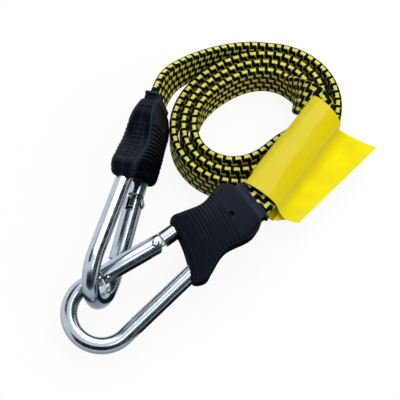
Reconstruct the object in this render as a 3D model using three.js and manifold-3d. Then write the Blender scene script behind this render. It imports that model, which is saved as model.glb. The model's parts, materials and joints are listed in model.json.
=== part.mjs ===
// Flat elastic bungee cord with a spring gate hook in a moulded handle at each end
// The strap lies coiled on edge, the two hooks are linked, and a vinyl tag is wrapped round the strap
// Millimetres and degrees, Z up, the origin under the middle of the two hooks and handles

import * as THREE from 'three';
import { mergeVertices } from 'three/addons/utils/BufferGeometryUtils.js';
import Module from 'manifold-3d';

const wasm = await Module();
wasm.setup();

// Free play between pieces that would touch
const play = 0.3;

// Hook wire, bent to a closed loop in one plane: x runs from the handle's mouth to the bend, y to the long leg
const wireDiameter = 8;
const bendCentreX = 86.5;
const bendCentreY = 1;
const bendRadius = 15.3;
const legX = 40;
const legY = 10.4;
const crossbarX = 25;
const crossbarCorner = 6;
const stubY = -10.2;

// Spring gate, a sleeve on a rivet with a plunger and a coil spring inside
const gateDiameter = 9.2;
const gateLength = 29.4;
const gateSwing = 25;
const rivetX = 47.2;
const rivetDiameter = 2.5;
const gateTail = 3.4;
const tongueThickness = 3.2;
const tongueHeight = 5.2;
const tongueEnd = 2.4;
const catchPinDiameter = 1.8;
const noseGap = 0.9;
const boreDiameter = 6;
const boreEnd = 17.5;
const plungerDiameter = 5.2;
const springWire = 0.7;
const springDiameter = 4.4;
const springCurls = 8;

// Handle, two shells that meet on the plane of the wire
const handleGateFront = 35.6;
const handleLongFront = 45.2;
const ribCount = 9;
const ribStart = 0.31;
const ribEnd = 0.76;
const ribDepth = 0.55;
const panelDepth = 0.6;
const pocketEnd = 18;
const nubX = 10.4;
const nubDiameter = 2.4;
const collarRear = -4;
const collarFront = 2.4;

// Strap, woven over rubber, and the way it is coiled
const strapWidth = 18;
const strapThickness = 4;
const coilX = 26.9;
const coilY = 44.4;
const coilRadius = 42.7;
const coilOval = 3.4;
const coilOvalAngle = 39;
const pitchTight = 5.1;
const pitchSlack = 3.8;
const slackAngle = -45;
const coilStart = 0.05;
const coilEnd = 3.1;
const coilStepsPerTurn = 28;
const twistTurns = 0.21;
const twistSlide = 10.5;

// Tag, vinyl sheet wrapped round the strap with both ends stuck together as a flag
const tagThickness = 0.7;
const tagLength = 60.4;
const loopLength = 30;
const farFlap = 23;
const archFoot = 0.2;
const archRise = 4.1;
const flapEdge = 2.4;
const nearLift = 3.5;
const farLift = 2.6;
const tagLine = new THREE.Vector3(29, -5.6, 0);
const tagHeading = 55.2;
const flagReach = 14.5;
const flagDrop = 10;
const flagSkewFar = 7.2;
const flagSkewNear = 4;
const flagTaper = 0.3;
const panelSkew = 4;
const farRise = 0.7;
const flagSetBack = 2.4;

// Where each hook lies: the mouth of its handle, the heading of its bend, its slope and its roll
const poses = {
  a: { mouth: new THREE.Vector3(-21.9, 39.9, 28.9), heading: 254.5, slope: 7.3, roll: 100.6 },
  b: { mouth: new THREE.Vector3(22.6, -10.4, 22.4), heading: 217, slope: 6.1, roll: -12.85 },
};

// Finishes
const finish = (color, roughness, metalness) => new THREE.MeshStandardMaterial({ color, roughness, metalness });
const zincSteel = finish(0xc4c6c8, 0.28, 1);
const springSteel = finish(0x9a9ca0, 0.35, 1);
const blackNylon = finish(0x1b1f27, 0.45, 0);
const greyNylon = finish(0x15171b, 0.55, 0);
const wovenStrap = finish(0x3a3a20, 0.9, 0);
const yellowVinyl = finish(0xf2df22, 0.4, 0);

// Small helpers
const rad = THREE.MathUtils.degToRad;
const lerp = THREE.MathUtils.lerp;
const smooth = THREE.MathUtils.smoothstep;

function solidOf(geometry) {
  const bare = geometry.clone();
  bare.deleteAttribute('normal');
  bare.deleteAttribute('uv');
  const joined = mergeVertices(bare, 1e-4);
  const vertProperties = new Float32Array(joined.attributes.position.array);
  const triVerts = new Uint32Array(joined.index.array);
  return new wasm.Manifold(new wasm.Mesh({ numProp: 3, vertProperties, triVerts }));
}

function geometryOf(solid) {
  const mesh = solid.getMesh();
  const geometry = new THREE.BufferGeometry();
  geometry.setAttribute('position', new THREE.BufferAttribute(mesh.vertProperties, 3));
  geometry.setIndex(new THREE.BufferAttribute(mesh.triVerts, 1));
  geometry.computeVertexNormals();
  return geometry;
}

function piece(name, geometry, material) {
  const mesh = new THREE.Mesh(geometry, material);
  mesh.name = name;
  return mesh;
}

function slab(x0, x1, y0, y1, z0, z1) {
  const box = new THREE.BoxGeometry(x1 - x0, y1 - y0, z1 - z0);
  return box.translate((x0 + x1) / 2, (y0 + y1) / 2, (z0 + z1) / 2);
}

function crossRod(x, y, radius, halfLength, sides = 16) {
  const rod = new THREE.CylinderGeometry(radius, radius, 2 * halfLength, sides);
  return rod.rotateX(Math.PI / 2).translate(x, y, 0);
}

function axialRod(x0, x1, radius, sides = 20) {
  const rod = new THREE.CylinderGeometry(radius, radius, x1 - x0, sides);
  return rod.rotateZ(Math.PI / 2).translate((x0 + x1) / 2, 0, 0);
}

// A closed body through rings of points that run anticlockwise about the direction of travel
// Each end is closed by a strip from the ring's first two points to the opposite ones
function loft(rings) {
  const count = rings[0].length;
  const positions = [];
  const index = [];
  rings.forEach((ring) => ring.forEach((point) => positions.push(point.x, point.y, point.z)));
  for (let row = 0; row + 1 < rings.length; row += 1) {
    for (let side = 0; side < count; side += 1) {
      const here = row * count + side;
      const next = row * count + ((side + 1) % count);
      index.push(here, next, here + count);
      index.push(next, next + count, here + count);
    }
  }
  [0, rings.length - 1].forEach((row) => {
    const at = (side) => row * count + ((side + count) % count);
    for (let pair = 0; 2 * pair + 2 < count; pair += 1) {
      const [low, high] = [at(-pair), at(pair + 1)];
      const [nextLow, nextHigh] = [at(-pair - 1), at(pair + 2)];
      index.push(...(row ? [low, high, nextHigh] : [low, nextHigh, high]));
      index.push(...(row ? [low, nextHigh, nextLow] : [low, nextLow, nextHigh]));
    }
  });
  const geometry = new THREE.BufferGeometry();
  geometry.setAttribute('position', new THREE.Float32BufferAttribute(positions, 3));
  geometry.setIndex(index);
  geometry.computeVertexNormals();
  return geometry;
}

// A smooth curve through stops of place and value
function through(stops, place) {
  let low = 0;
  while (low + 2 < stops.length && stops[low + 1][0] < place) {
    low += 1;
  }
  const slope = (i) => {
    const before = stops[Math.max(0, i - 1)];
    const after = stops[Math.min(stops.length - 1, i + 1)];
    return (after[1] - before[1]) / (after[0] - before[0]);
  };
  const [x0, y0] = stops[low];
  const [x1, y1] = stops[low + 1];
  const span = x1 - x0;
  const f = (place - x0) / span;
  const rise = (2 * f ** 3 - 3 * f ** 2 + 1) * y0 + (3 * f ** 2 - 2 * f ** 3) * y1;
  return rise + span * ((f ** 3 - 2 * f ** 2 + f) * slope(low) + (f ** 3 - f ** 2) * slope(low + 1));
}

// Round bend in the plane of the wire
class Bend extends THREE.Curve {
  constructor(x, y, radius, from, to) {
    super();
    Object.assign(this, { x, y, radius, from, to });
  }

  getPoint(t, target = new THREE.Vector3()) {
    const angle = lerp(this.from, this.to, t);
    return target.set(this.x + this.radius * Math.cos(angle), this.y + this.radius * Math.sin(angle), 0);
  }
}

// Lines that touch the bend: the long leg on its +y side and the gate on its -y side
const flat = (x, y) => new THREE.Vector3(x, y, 0);
const toBend = (x, y) => Math.hypot(bendCentreX - x, bendCentreY - y);
const aim = (x, y) => Math.atan2(bendCentreY - y, bendCentreX - x);
const legAngle = aim(legX, legY) + Math.asin(bendRadius / toBend(legX, legY));
const gateAngle = aim(rivetX, stubY) - Math.asin(bendRadius / toBend(rivetX, stubY));
const gateTangent = Math.sqrt(toBend(rivetX, stubY) ** 2 - bendRadius ** 2);
const gateFrame = new THREE.Matrix4().makeTranslation(rivetX, stubY, 0);
gateFrame.multiply(new THREE.Matrix4().makeRotationZ(gateAngle));
const onGate = (x) => flat(x, 0).applyMatrix4(gateFrame);
const stubEnd = rivetX - gateTail - play - 0.5;
const wireRadius = wireDiameter / 2;
const gateRadius = gateDiameter / 2;

function wirePath() {
  const crossbarLong = legY - (legX - crossbarX) * Math.tan(legAngle);
  const turn = Math.PI / 2 - legAngle;
  const trim = crossbarCorner * Math.tan(turn / 2);
  const innerX = crossbarX + crossbarCorner;
  const first = new Bend(innerX, stubY + crossbarCorner, crossbarCorner, -Math.PI / 2, -Math.PI);
  const second = new Bend(innerX, crossbarLong - trim, crossbarCorner, Math.PI, Math.PI - turn);
  const bendTo = gateAngle - Math.PI / 2;
  const round = new Bend(bendCentreX, bendCentreY, bendRadius, legAngle + Math.PI / 2, bendTo);
  const path = new THREE.CurvePath();
  path.add(new THREE.LineCurve3(flat(stubEnd, stubY), first.getPoint(0)));
  path.add(first);
  path.add(new THREE.LineCurve3(first.getPoint(1), second.getPoint(0)));
  path.add(second);
  path.add(new THREE.LineCurve3(second.getPoint(1), round.getPoint(0)));
  path.add(round);
  path.add(new THREE.LineCurve3(round.getPoint(1), onGate(gateLength + noseGap)));
  return path;
}

function wireTube(radius) {
  const circle = new THREE.Shape();
  circle.absarc(0, 0, radius, 0, 2 * Math.PI);
  const options = { steps: 58, curveSegments: 6, bevelEnabled: false, extrudePath: wirePath() };
  return solidOf(new THREE.ExtrudeGeometry(circle, options));
}

// Tongues: the flattened ends of the wire, one under the gate's rivet and one in the gate's tip
const slotHalf = tongueThickness / 2 + play;
const catchY = 2.5;
const catchFloor = catchY - catchPinDiameter / 2;

function hookWire() {
  const thick = tongueThickness / 2;
  const tall = tongueHeight / 2;
  const rearBox = slab(stubEnd - 1, rivetX + tongueEnd, stubY - tall, stubY + tall, -thick, thick);
  const rear = solidOf(rearBox);
  const noseFrom = gateLength - 4.2;
  const noseTo = gateLength + noseGap + 1;
  const noseBox = slab(noseFrom, noseTo, -3.2, catchFloor - play - 0.1, -thick, thick);
  const nose = solidOf(noseBox.applyMatrix4(gateFrame));
  const hole = solidOf(crossRod(rivetX, stubY, rivetDiameter / 2 + play, 8));
  return wireTube(wireRadius).add(rear).add(nose).subtract(hole);
}

// Gate sleeve, in its own frame with the rivet at the origin and the tip along +x
function gateSleeve() {
  const tube = solidOf(axialRod(-gateTail, gateLength, gateRadius, 22));
  const fork = solidOf(slab(-gateTail - 1, 4.6, -10, 10, -slotHalf, slotHalf));
  const bore = solidOf(axialRod(1.8, boreEnd, boreDiameter / 2, 16));
  const tip = solidOf(slab(gateLength - 5.5, gateLength + 1, -10, catchFloor, -slotHalf, slotHalf));
  const rivetHole = solidOf(crossRod(0, 0, rivetDiameter / 2 + play, 8));
  const catchHole = solidOf(crossRod(gateLength - 2.2, catchY, catchPinDiameter / 2 + play, 8, 12));
  const reliefBox = slab(-12, 0, 0, 12, -8, 8).rotateZ(-rad(gateSwing + 3)).translate(-gateTail, 0, 0);
  const relief = solidOf(reliefBox);
  return tube.subtract(fork).subtract(bore).subtract(tip).subtract(rivetHole).subtract(catchHole).subtract(relief);
}

function gateRivet() {
  const stem = rivetDiameter / 2;
  const seat = gateRadius + 0.15;
  const half = [[0, seat + 0.7], [stem, seat + 0.6], [stem + 0.65, seat], [stem, seat - 0.05]];
  const lower = half.map(([x, y]) => new THREE.Vector2(x, -y));
  const upper = half.map(([x, y]) => new THREE.Vector2(x, y)).reverse();
  return new THREE.LatheGeometry([...lower, ...upper], 16).rotateX(Math.PI / 2);
}

const plungerFace = tongueEnd + 0.35;
const plungerHead = plungerFace + 2.4;

function gatePlunger() {
  const radius = plungerDiameter / 2;
  const stem = springDiameter / 2 - springWire / 2 - 0.6;
  const stops = [[0, plungerFace], [radius - 0.4, plungerFace], [radius, plungerFace + 0.4], [radius, plungerHead]];
  stops.push([stem, plungerHead], [stem, plungerHead + 4.2], [0, plungerHead + 4.2]);
  const profile = stops.map(([x, y]) => new THREE.Vector2(x, y));
  return new THREE.LatheGeometry(profile, 16).rotateZ(-Math.PI / 2);
}

class Helix extends THREE.Curve {
  getPoint(t, target = new THREE.Vector3()) {
    const angle = 2 * Math.PI * springCurls * t;
    const inset = springWire / 2 + play;
    const x = lerp(plungerHead + inset, boreEnd - inset, t);
    return target.set(x, (springDiameter / 2) * Math.cos(angle), (springDiameter / 2) * Math.sin(angle));
  }
}

function gateSpring() {
  const circle = new THREE.Shape();
  circle.absarc(0, 0, springWire / 2, 0, 2 * Math.PI);
  const options = { steps: springCurls * 8, curveSegments: 3, bevelEnabled: false, extrudePath: new Helix() };
  return new THREE.ExtrudeGeometry(circle, options);
}

// Handle: half widths to the gate side and to the long leg side, and half thickness, from mouth (0) to front (1)
const gateSide = [[0, 11.2], [0.06, 13.6], [0.17, 15.3], [0.5, 12.4], [0.8, 14.9], [0.91, 16], [1, 15.1]];
const longSide = [[0, 10.9], [0.06, 12.6], [0.2, 14.3], [0.5, 12.1], [0.74, 16], [0.84, 17.9], [0.93, 17], [1, 14.6]];
const halfThick = [[0, 4.6], [0.1, 5.2], [0.35, 7.1], [0.6, 7.8], [0.8, 7.1], [0.93, 6.4], [1, 5.2]];
const pocketHalfY = strapWidth / 2 + play + 1.4;
const pocketHalfZ = strapThickness / 2 + play + 1.5;

function handleRing(place, groove, panel) {
  const gate = through(gateSide, place);
  const long = through(longSide, place);
  const half = through(halfThick, place) - groove;
  const round = 2.2;
  const soft = round * (1 - Math.SQRT1_2);
  const crown = 0.5;
  const band = 0.45 * half;
  const side = half - round;
  const flank = (edge, sign) => [
    [edge, -sign * side],
    [edge, -sign * (band + 0.3)],
    [edge - Math.sign(edge) * panel, -sign * band],
    [edge - Math.sign(edge) * panel, sign * band],
    [edge, sign * (band + 0.3)],
    [edge, sign * side],
  ];
  const longFlank = flank(long, 1);
  const outline = [
    ...longFlank.slice(2),
    [long - soft, half - soft],
    [long - round, half],
    [(long - gate) / 2, half + crown],
    [round - gate, half],
    [soft - gate, half - soft],
    ...flank(-gate, -1),
    [soft - gate, soft - half],
    [round - gate, -half],
    [(long - gate) / 2, -half - crown],
    [long - round, -half],
    [long - soft, soft - half],
    ...longFlank.slice(0, 2),
  ];
  const along = (y) => place * lerp(handleGateFront, handleLongFront, ((y + gate) / (gate + long)) ** 2);
  return outline.map(([y, z]) => new THREE.Vector3(along(y), y, z));
}

function handleBody() {
  const rings = [];
  [0, 0.03, 0.07, 0.12].forEach((place) => rings.push(handleRing(place, 0, 0)));
  [0.135, 0.22].forEach((place) => rings.push(handleRing(place, 0, panelDepth)));
  const pitch = (ribEnd - ribStart) / ribCount;
  for (let rib = 0; rib < ribCount; rib += 1) {
    const start = ribStart + rib * pitch;
    rings.push(handleRing(start, 0, panelDepth / 2));
    rings.push(handleRing(start + 0.45 * pitch, 0, panelDepth / 2));
    rings.push(handleRing(start + 0.72 * pitch, ribDepth, panelDepth + 0.3));
  }
  rings.push(handleRing(ribEnd, 0, panelDepth / 2));
  rings.push(handleRing(0.79, 0, panelDepth));
  [0.8, 0.86, 0.91, 0.95, 0.98, 1].forEach((place) => rings.push(handleRing(place, 0, 0)));
  return solidOf(loft(rings));
}

function handleShells() {
  const channel = wireTube(wireRadius + play);
  const pocket = solidOf(slab(-2, pocketEnd, -pocketHalfY, pocketHalfY, -pocketHalfZ, pocketHalfZ));
  const nubHole = solidOf(crossRod(nubX, 0, nubDiameter / 2 + play, 20));
  const body = handleBody().subtract(channel).subtract(pocket).subtract(nubHole);
  const upper = solidOf(slab(-10, 60, -40, 40, play / 2, 20));
  const lower = solidOf(slab(-10, 60, -40, 40, -20, -play / 2));
  return [body.intersect(upper), body.intersect(lower)];
}

// Rounded oblong in the y z plane with a slot for the strap, from x0 to x1
function strapSleeve(x0, x1, halfY, halfZ, extra = 0) {
  const outline = new THREE.Shape();
  const corner = 1;
  outline.moveTo(-halfY + corner, -halfZ);
  outline.lineTo(halfY + extra - corner, -halfZ);
  outline.quadraticCurveTo(halfY + extra, -halfZ, halfY + extra, -halfZ + corner);
  outline.lineTo(halfY + extra, halfZ - corner);
  outline.quadraticCurveTo(halfY + extra, halfZ, halfY + extra - corner, halfZ);
  outline.lineTo(-halfY + corner, halfZ);
  outline.quadraticCurveTo(-halfY, halfZ, -halfY, halfZ - corner);
  outline.lineTo(-halfY, -halfZ + corner);
  outline.quadraticCurveTo(-halfY, -halfZ, -halfY + corner, -halfZ);
  const body = new THREE.ExtrudeGeometry(outline, { depth: x1 - x0, bevelEnabled: false, curveSegments: 3 });
  body.rotateX(Math.PI / 2).rotateZ(Math.PI / 2).translate(x0, 0, 0);
  const openY = strapWidth / 2 + play;
  const openZ = strapThickness / 2 + play;
  return solidOf(body).subtract(solidOf(slab(x0 - 5, x1 + 5, -openY, openY, -openZ, openZ)));
}

function mouthCollar() {
  const sleeve = strapSleeve(collarRear, collarFront, pocketHalfY - play, pocketHalfZ - play);
  const lip = strapSleeve(collarRear, collarRear + 1.4, pocketHalfY - play, pocketHalfZ - play, 1);
  return sleeve.add(lip);
}

function strapClip() {
  const sleeve = strapSleeve(collarFront + 2, pocketEnd - play, pocketHalfY - play, pocketHalfZ - play);
  const nubReach = pocketHalfZ + 0.9;
  const nub = solidOf(crossRod(nubX, 0, nubDiameter / 2, nubReach, 12));
  const slot = solidOf(slab(0, pocketEnd, -strapWidth / 2 - play, strapWidth / 2 + play, -2.3, 2.3));
  return sleeve.add(nub.subtract(slot));
}

// One end of the cord in its own frame
function endUnit(letter) {
  const unit = new THREE.Group();
  unit.name = `end_${letter}`;
  unit.add(piece(`hook_wire_${letter}`, geometryOf(hookWire()), zincSteel));
  const [upper, lower] = handleShells();
  unit.add(piece(`handle_upper_${letter}`, geometryOf(upper), blackNylon));
  unit.add(piece(`handle_lower_${letter}`, geometryOf(lower), blackNylon));
  unit.add(piece(`mouth_collar_${letter}`, geometryOf(mouthCollar()), blackNylon));
  unit.add(piece(`strap_clip_${letter}`, geometryOf(strapClip()), greyNylon));
  const gate = new THREE.Group();
  gate.name = `gate_${letter}`;
  gate.position.set(rivetX, stubY, 0);
  gate.rotation.z = gateAngle;
  gate.add(piece(`gate_sleeve_${letter}`, geometryOf(gateSleeve()), zincSteel));
  gate.add(piece(`gate_rivet_${letter}`, gateRivet(), zincSteel));
  const catchPin = crossRod(gateLength - 2.2, catchY, catchPinDiameter / 2, 3.5, 12);
  gate.add(piece(`catch_pin_${letter}`, catchPin, zincSteel));
  gate.add(piece(`gate_plunger_${letter}`, gatePlunger(), springSteel));
  gate.add(piece(`gate_spring_${letter}`, gateSpring(), springSteel));
  unit.add(gate);
  const pose = poses[letter];
  unit.position.copy(pose.mouth);
  unit.rotation.set(rad(pose.roll), rad(pose.slope), rad(pose.heading), 'ZYX');
  unit.updateMatrixWorld(true);
  return unit;
}

function solidBox(group) {
  const box = new THREE.Box3();
  box.setFromObject(group, true);
  return box;
}

// The lower hook stands on the floor
const ends = new THREE.Group();
ends.name = 'ends';
const endA = endUnit('a');
const endB = endUnit('b');
ends.add(endA, endB);
const standing = solidBox(ends).min.z;
[endA, endB].forEach((end) => {
  end.position.z -= standing;
  end.updateMatrixWorld(true);
});

// Coil: radius of the strap's middle at a number of clockwise turns from the far side
const bearing = (turns) => Math.PI / 2 - 2 * Math.PI * turns;
const pitchAt = (angle) => pitchTight + pitchSlack * ((1 + Math.cos(angle - rad(slackAngle))) / 2) ** 3;
const coilEdge = (angle) => coilRadius + coilOval * Math.cos(2 * (angle - rad(coilOvalAngle)));
const coilReach = (turns) => coilEdge(bearing(turns)) - turns * pitchAt(bearing(turns));
const up = new THREE.Vector3(0, 0, 1);

function around(angle, reach, height) {
  return new THREE.Vector3(coilX + reach * Math.cos(angle), coilY + reach * Math.sin(angle), height);
}

const onCoil = (turns) => around(bearing(turns), coilReach(turns), strapWidth / 2);
const alongCoil = (turns) => onCoil(turns + 0.001).sub(onCoil(turns - 0.001)).normalize();

// Strap cross-section with its edges rounded
function strapRing(centre, along, across) {
  const side = across.clone().addScaledVector(along, -across.dot(along)).normalize();
  const face = along.clone().cross(side);
  const wide = strapWidth / 2;
  const thick = strapThickness / 2;
  const ease = 0.9;
  const outline = [
    [wide, ease - thick],
    [wide, thick - ease],
    [wide - ease, thick],
    [ease - wide, thick],
    [-wide, thick - ease],
    [-wide, ease - thick],
    [ease - wide, -thick],
    [wide - ease, -thick],
  ];
  return outline.map(([x, y]) => centre.clone().addScaledVector(side, x).addScaledVector(face, y));
}

// Strap through stations that each hold a point and the direction of its width
function strapSweep(stations) {
  const rings = stations.map((station, i) => {
    const before = stations[Math.max(0, i - 1)].point;
    const after = stations[Math.min(stations.length - 1, i + 1)].point;
    const along = station.along ?? after.clone().sub(before).normalize();
    return strapRing(station.point, along, station.across);
  });
  return loft(rings);
}

// A smooth run through a few stations, closely spaced
function strapRun(stations, steps) {
  const path = new THREE.CatmullRomCurve3(stations.map((station) => station.point), false, 'centripetal');
  const run = [];
  for (let i = 0; i <= steps; i += 1) {
    const t = (i / steps) * (stations.length - 1);
    const low = Math.min(stations.length - 2, Math.floor(t));
    const across = stations[low].across.clone().lerp(stations[low + 1].across, t - low).normalize();
    run.push({ point: path.getPoint(i / steps), across });
  }
  return run;
}

const fromEnd = (end, x) => new THREE.Vector3(x, 0, 0).applyMatrix4(end.matrixWorld);
const endSide = (end) => new THREE.Vector3(0, 1, 0).transformDirection(end.matrixWorld);
const strapInside = pocketEnd - play - 1;
const edgeUp = strapWidth / 2;

function strapCoil() {
  const steps = Math.round((coilEnd - coilStart) * coilStepsPerTurn);
  const stations = [];
  for (let i = 0; i <= steps; i += 1) {
    const turns = lerp(coilStart, coilEnd, i / steps);
    stations.push({ point: onCoil(turns), across: up, along: alongCoil(turns), turns });
  }
  let least = Infinity;
  stations.forEach((one) => {
    stations.forEach((other) => {
      if (Math.abs(one.turns - other.turns) > 0.5) {
        least = Math.min(least, one.point.distanceTo(other.point) - strapThickness);
      }
    });
  });
  console.log(`least gap between turns of the strap coil: ${least.toFixed(2)} mm`);
  return strapSweep(stations);
}

// Lead of the first hook: out of the handle, down and round into the outermost turn
function leadA() {
  const side = endSide(endA);
  const straight = [strapInside, 0, -6].map((x) => ({ point: fromEnd(endA, x), across: side }));
  const from = -0.2;
  const count = 6;
  for (let i = 0; i < count; i += 1) {
    const turns = lerp(from, coilStart - 0.003, i / (count - 1));
    const part = (coilStart - turns) / (coilStart - from);
    const point = around(bearing(turns), coilReach(turns) + 2.2 * part ** 3, edgeUp + 17 * part ** 1.6);
    straight.push({ point, across: up.clone().lerp(side, part ** 2).normalize() });
  }
  const run = strapRun(straight, 40);
  run[run.length - 1].along = alongCoil(coilStart);
  return run;
}

// Lead of the second hook: up from the innermost turn, over on its flat side, under the tag and into the handle
const tagAlong = new THREE.Vector3(Math.cos(rad(tagHeading)), Math.sin(rad(tagHeading)), 0);
const tagAcross = new THREE.Vector3(Math.sin(rad(tagHeading)), -Math.cos(rad(tagHeading)), 0);
const tagHeight = strapWidth + play + tagThickness + play + strapThickness / 2 + 0.1;
const tagFrom = 7;

function leadB() {
  const stations = [];
  const count = 9;
  const lean = strapThickness / 2 + 1.3;
  for (let i = 0; i < count; i += 1) {
    const part = i / (count - 1);
    const turns = lerp(coilEnd + 0.003, coilEnd + twistTurns, part);
    const angle = bearing(turns);
    const tip = smooth(part, 0.15, 0.85) * Math.PI / 2;
    const slide = lerp(-strapWidth / 2, twistSlide, smooth(part, 0, 1));
    const reach = lerp(pitchAt(angle) - strapThickness / 2, lean, Math.min(1, 3 * part));
    const corner = coilReach(turns - 1) - strapThickness / 2;
    const out = corner - reach * Math.cos(tip) + slide * Math.sin(tip);
    const high = strapWidth + lean * Math.sin(tip) + slide * Math.cos(tip);
    const radial = new THREE.Vector3(Math.cos(angle), Math.sin(angle), 0);
    const across = radial.multiplyScalar(Math.sin(tip)).addScaledVector(up, Math.cos(tip));
    stations.push({ point: around(angle, out, high), across });
  }
  [loopLength + 2, loopLength / 2, -1].forEach((m) => {
    const point = tagLine.clone().addScaledVector(tagAlong, tagFrom + m).setZ(tagHeight);
    stations.push({ point, across: tagAcross });
  });
  [-5, 0, strapInside].forEach((x) => stations.push({ point: fromEnd(endB, x), across: endSide(endB) }));
  const run = strapRun(stations, 60);
  run[0].along = alongCoil(coilEnd);
  return run;
}

// Tag: a sheet arched over the strap, closed under it for the loop's length, with a double flag to one side
function vinylTag() {
  const halfWide = strapWidth / 2 + 2 * play;
  const floorZ = -strapThickness / 2 - play;
  const t = tagThickness;
  const below = floorZ - 5;
  const extruded = (shape) => {
    const options = { depth: tagLength, bevelEnabled: false, curveSegments: 14 };
    return solidOf(new THREE.ExtrudeGeometry(shape, options));
  };
  const arch = (grow, foot, reach) => {
    const outline = new THREE.Shape();
    outline.moveTo(-reach, foot);
    outline.lineTo(halfWide + grow, foot);
    outline.absellipse(0, archFoot, halfWide + grow, archRise + grow, 0, Math.PI, false);
    outline.lineTo(-reach, archFoot);
    return extruded(outline);
  };
  const hang = new THREE.Vector2(halfWide + flagReach, archFoot - flagDrop);
  const shoulder = new THREE.Vector2(halfWide + flagReach * 0.4, archFoot - flagDrop * 0.66);
  const root = new THREE.Vector2(halfWide + t / 2, archFoot - t);
  const flag = new THREE.QuadraticBezierCurve(root, shoulder, hang);
  const skin = (offset, f) => {
    const along = flag.getTangent(f);
    return flag.getPoint(f).add(new THREE.Vector2(-along.y, along.x).multiplyScalar(offset));
  };
  const steps = 8;
  const skins = [];
  for (let i = 0; i <= steps; i += 1) {
    skins.push(skin(-t, i / steps));
    skins.unshift(skin(t, i / steps));
  }
  const strapWay = arch(0, floorZ, halfWide);
  const under = arch(0, below, halfWide + 5);
  const nearFlap = tagLength - farFlap - loopLength;
  const inner = solidOf(slab(-halfWide - 5, -halfWide / 2, below, flapEdge, 0, tagLength));
  const open = under.add(inner);
  const farOpen = open.trimByPlane([0, 0, -1], -farFlap);
  const nearOpen = open.trimByPlane([0, 0, 1], tagLength - nearFlap);
  const pastFlag = solidOf(slab(halfWide + t, halfWide + 2 * flagReach, below - flagDrop, 20, -5, flagSetBack));
  const wrap = arch(t, floorZ - t, halfWide + t).subtract(strapWay).subtract(farOpen).subtract(nearOpen);
  const sheet = wrap.add(extruded(new THREE.Shape(skins)).subtract(pastFlag).subtract(strapWay));
  const geometry = geometryOf(sheet);
  const spots = geometry.attributes.position;
  for (let i = 0; i < spots.count; i += 1) {
    const [x, y, z] = [spots.getX(i), spots.getY(i), spots.getZ(i)];
    const near = z / tagLength;
    const out = Math.max(0, (x - halfWide - t) / flagReach);
    const tilt = Math.max(0, 1 - x / halfWide) / 2;
    const lift = tilt * lerp(farLift, nearLift, near) + Math.max(0, y - archFoot) * farRise * (1 - near);
    const drawn = panelSkew * (1 - near) * THREE.MathUtils.clamp(1 - tilt, 0, 1);
    const wider = out * flagReach * lerp(flagTaper, -flagTaper, near);
    const onPanel = x < halfWide + t && y > floorZ / 2;
    spots.setXYZ(i, x + wider, y + (onPanel ? lift : 0), z + drawn - out * lerp(flagSkewFar, flagSkewNear, near));
  }
  geometry.computeVertexNormals();
  return geometry.rotateX(Math.PI / 2);
}

// The whole cord, stood on the floor with the hooks and handles centred
const cord = new THREE.Group();
cord.name = 'bungee_cord';
cord.add(ends);
cord.add(piece('strap_lead_a', strapSweep(leadA()), wovenStrap));
cord.add(piece('strap_coil', strapCoil(), wovenStrap));
cord.add(piece('strap_lead_b', strapSweep(leadB()), wovenStrap));
const tag = piece('tag', vinylTag(), yellowVinyl);
tag.position.copy(tagLine).addScaledVector(tagAlong, tagFrom + loopLength + farFlap).setZ(tagHeight);
tag.rotation.z = Math.atan2(tagAcross.y, tagAcross.x);
cord.add(tag);
const footprint = solidBox(ends);
const middle = footprint.getCenter(new THREE.Vector3());
cord.position.set(-middle.x, -middle.y, -footprint.min.z);
cord.updateMatrixWorld(true);

export default cord;
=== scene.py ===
# %% [markdown]
# # A flat bungee cord with two spring gate hooks
#
# The cord is a woven elastic strap, coiled on its edge, with a moulded handle and a bent wire hook at
# each end. The two hooks are clipped into each other, and a yellow vinyl tag is folded round the strap.
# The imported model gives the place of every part, and each piece below is built on it in the same frame.

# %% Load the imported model
import json
import math

import bpy
import numpy as np
from mathutils import Matrix, Vector


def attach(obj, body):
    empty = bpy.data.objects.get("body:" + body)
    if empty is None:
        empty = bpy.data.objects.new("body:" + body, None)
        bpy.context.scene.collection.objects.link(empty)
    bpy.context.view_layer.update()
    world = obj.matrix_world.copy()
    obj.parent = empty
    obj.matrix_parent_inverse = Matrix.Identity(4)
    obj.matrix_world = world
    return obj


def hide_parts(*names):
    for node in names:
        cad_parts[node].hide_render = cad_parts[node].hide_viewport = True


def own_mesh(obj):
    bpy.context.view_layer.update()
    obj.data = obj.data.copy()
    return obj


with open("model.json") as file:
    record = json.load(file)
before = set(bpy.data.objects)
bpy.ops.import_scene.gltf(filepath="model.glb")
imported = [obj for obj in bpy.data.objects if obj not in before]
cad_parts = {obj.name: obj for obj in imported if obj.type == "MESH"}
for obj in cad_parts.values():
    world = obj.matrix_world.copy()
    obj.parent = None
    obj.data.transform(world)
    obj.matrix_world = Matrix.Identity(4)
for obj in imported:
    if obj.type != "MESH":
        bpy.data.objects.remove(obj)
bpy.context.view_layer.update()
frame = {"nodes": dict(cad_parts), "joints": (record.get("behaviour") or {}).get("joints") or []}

MM = 0.001

# %% [markdown]
# ## Where the two ends lie
#
# Both ends are the same unit, turned and placed differently. In a unit's own frame x runs from the mouth
# of the handle to the bend of the hook, and y to the long leg. The hinge of each gate is known from the
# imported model, so the unit's turn and the rivet's place in it are enough to find the frame again. The
# coil and the tag were measured from another origin, and the mouth of handle b tells how far the two
# origins are apart.

# %% Frames of the two ends
STUB_Y = -10.2  # the wire's stub and the gate's rivet lie on one line
RIVET = Vector((47.2, STUB_Y, 0))
TURNS = {"a": (254.5, 7.3, 100.6), "b": (217, 6.1, -12.85)}  # heading, slope and roll in degrees
COIL_MIDDLE = Vector((26.9, 44.4, 0))
MOUTH_B = Vector((22.6, -10.4, 0))
hinges = {joint["name"]: joint for joint in frame["joints"]}


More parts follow.
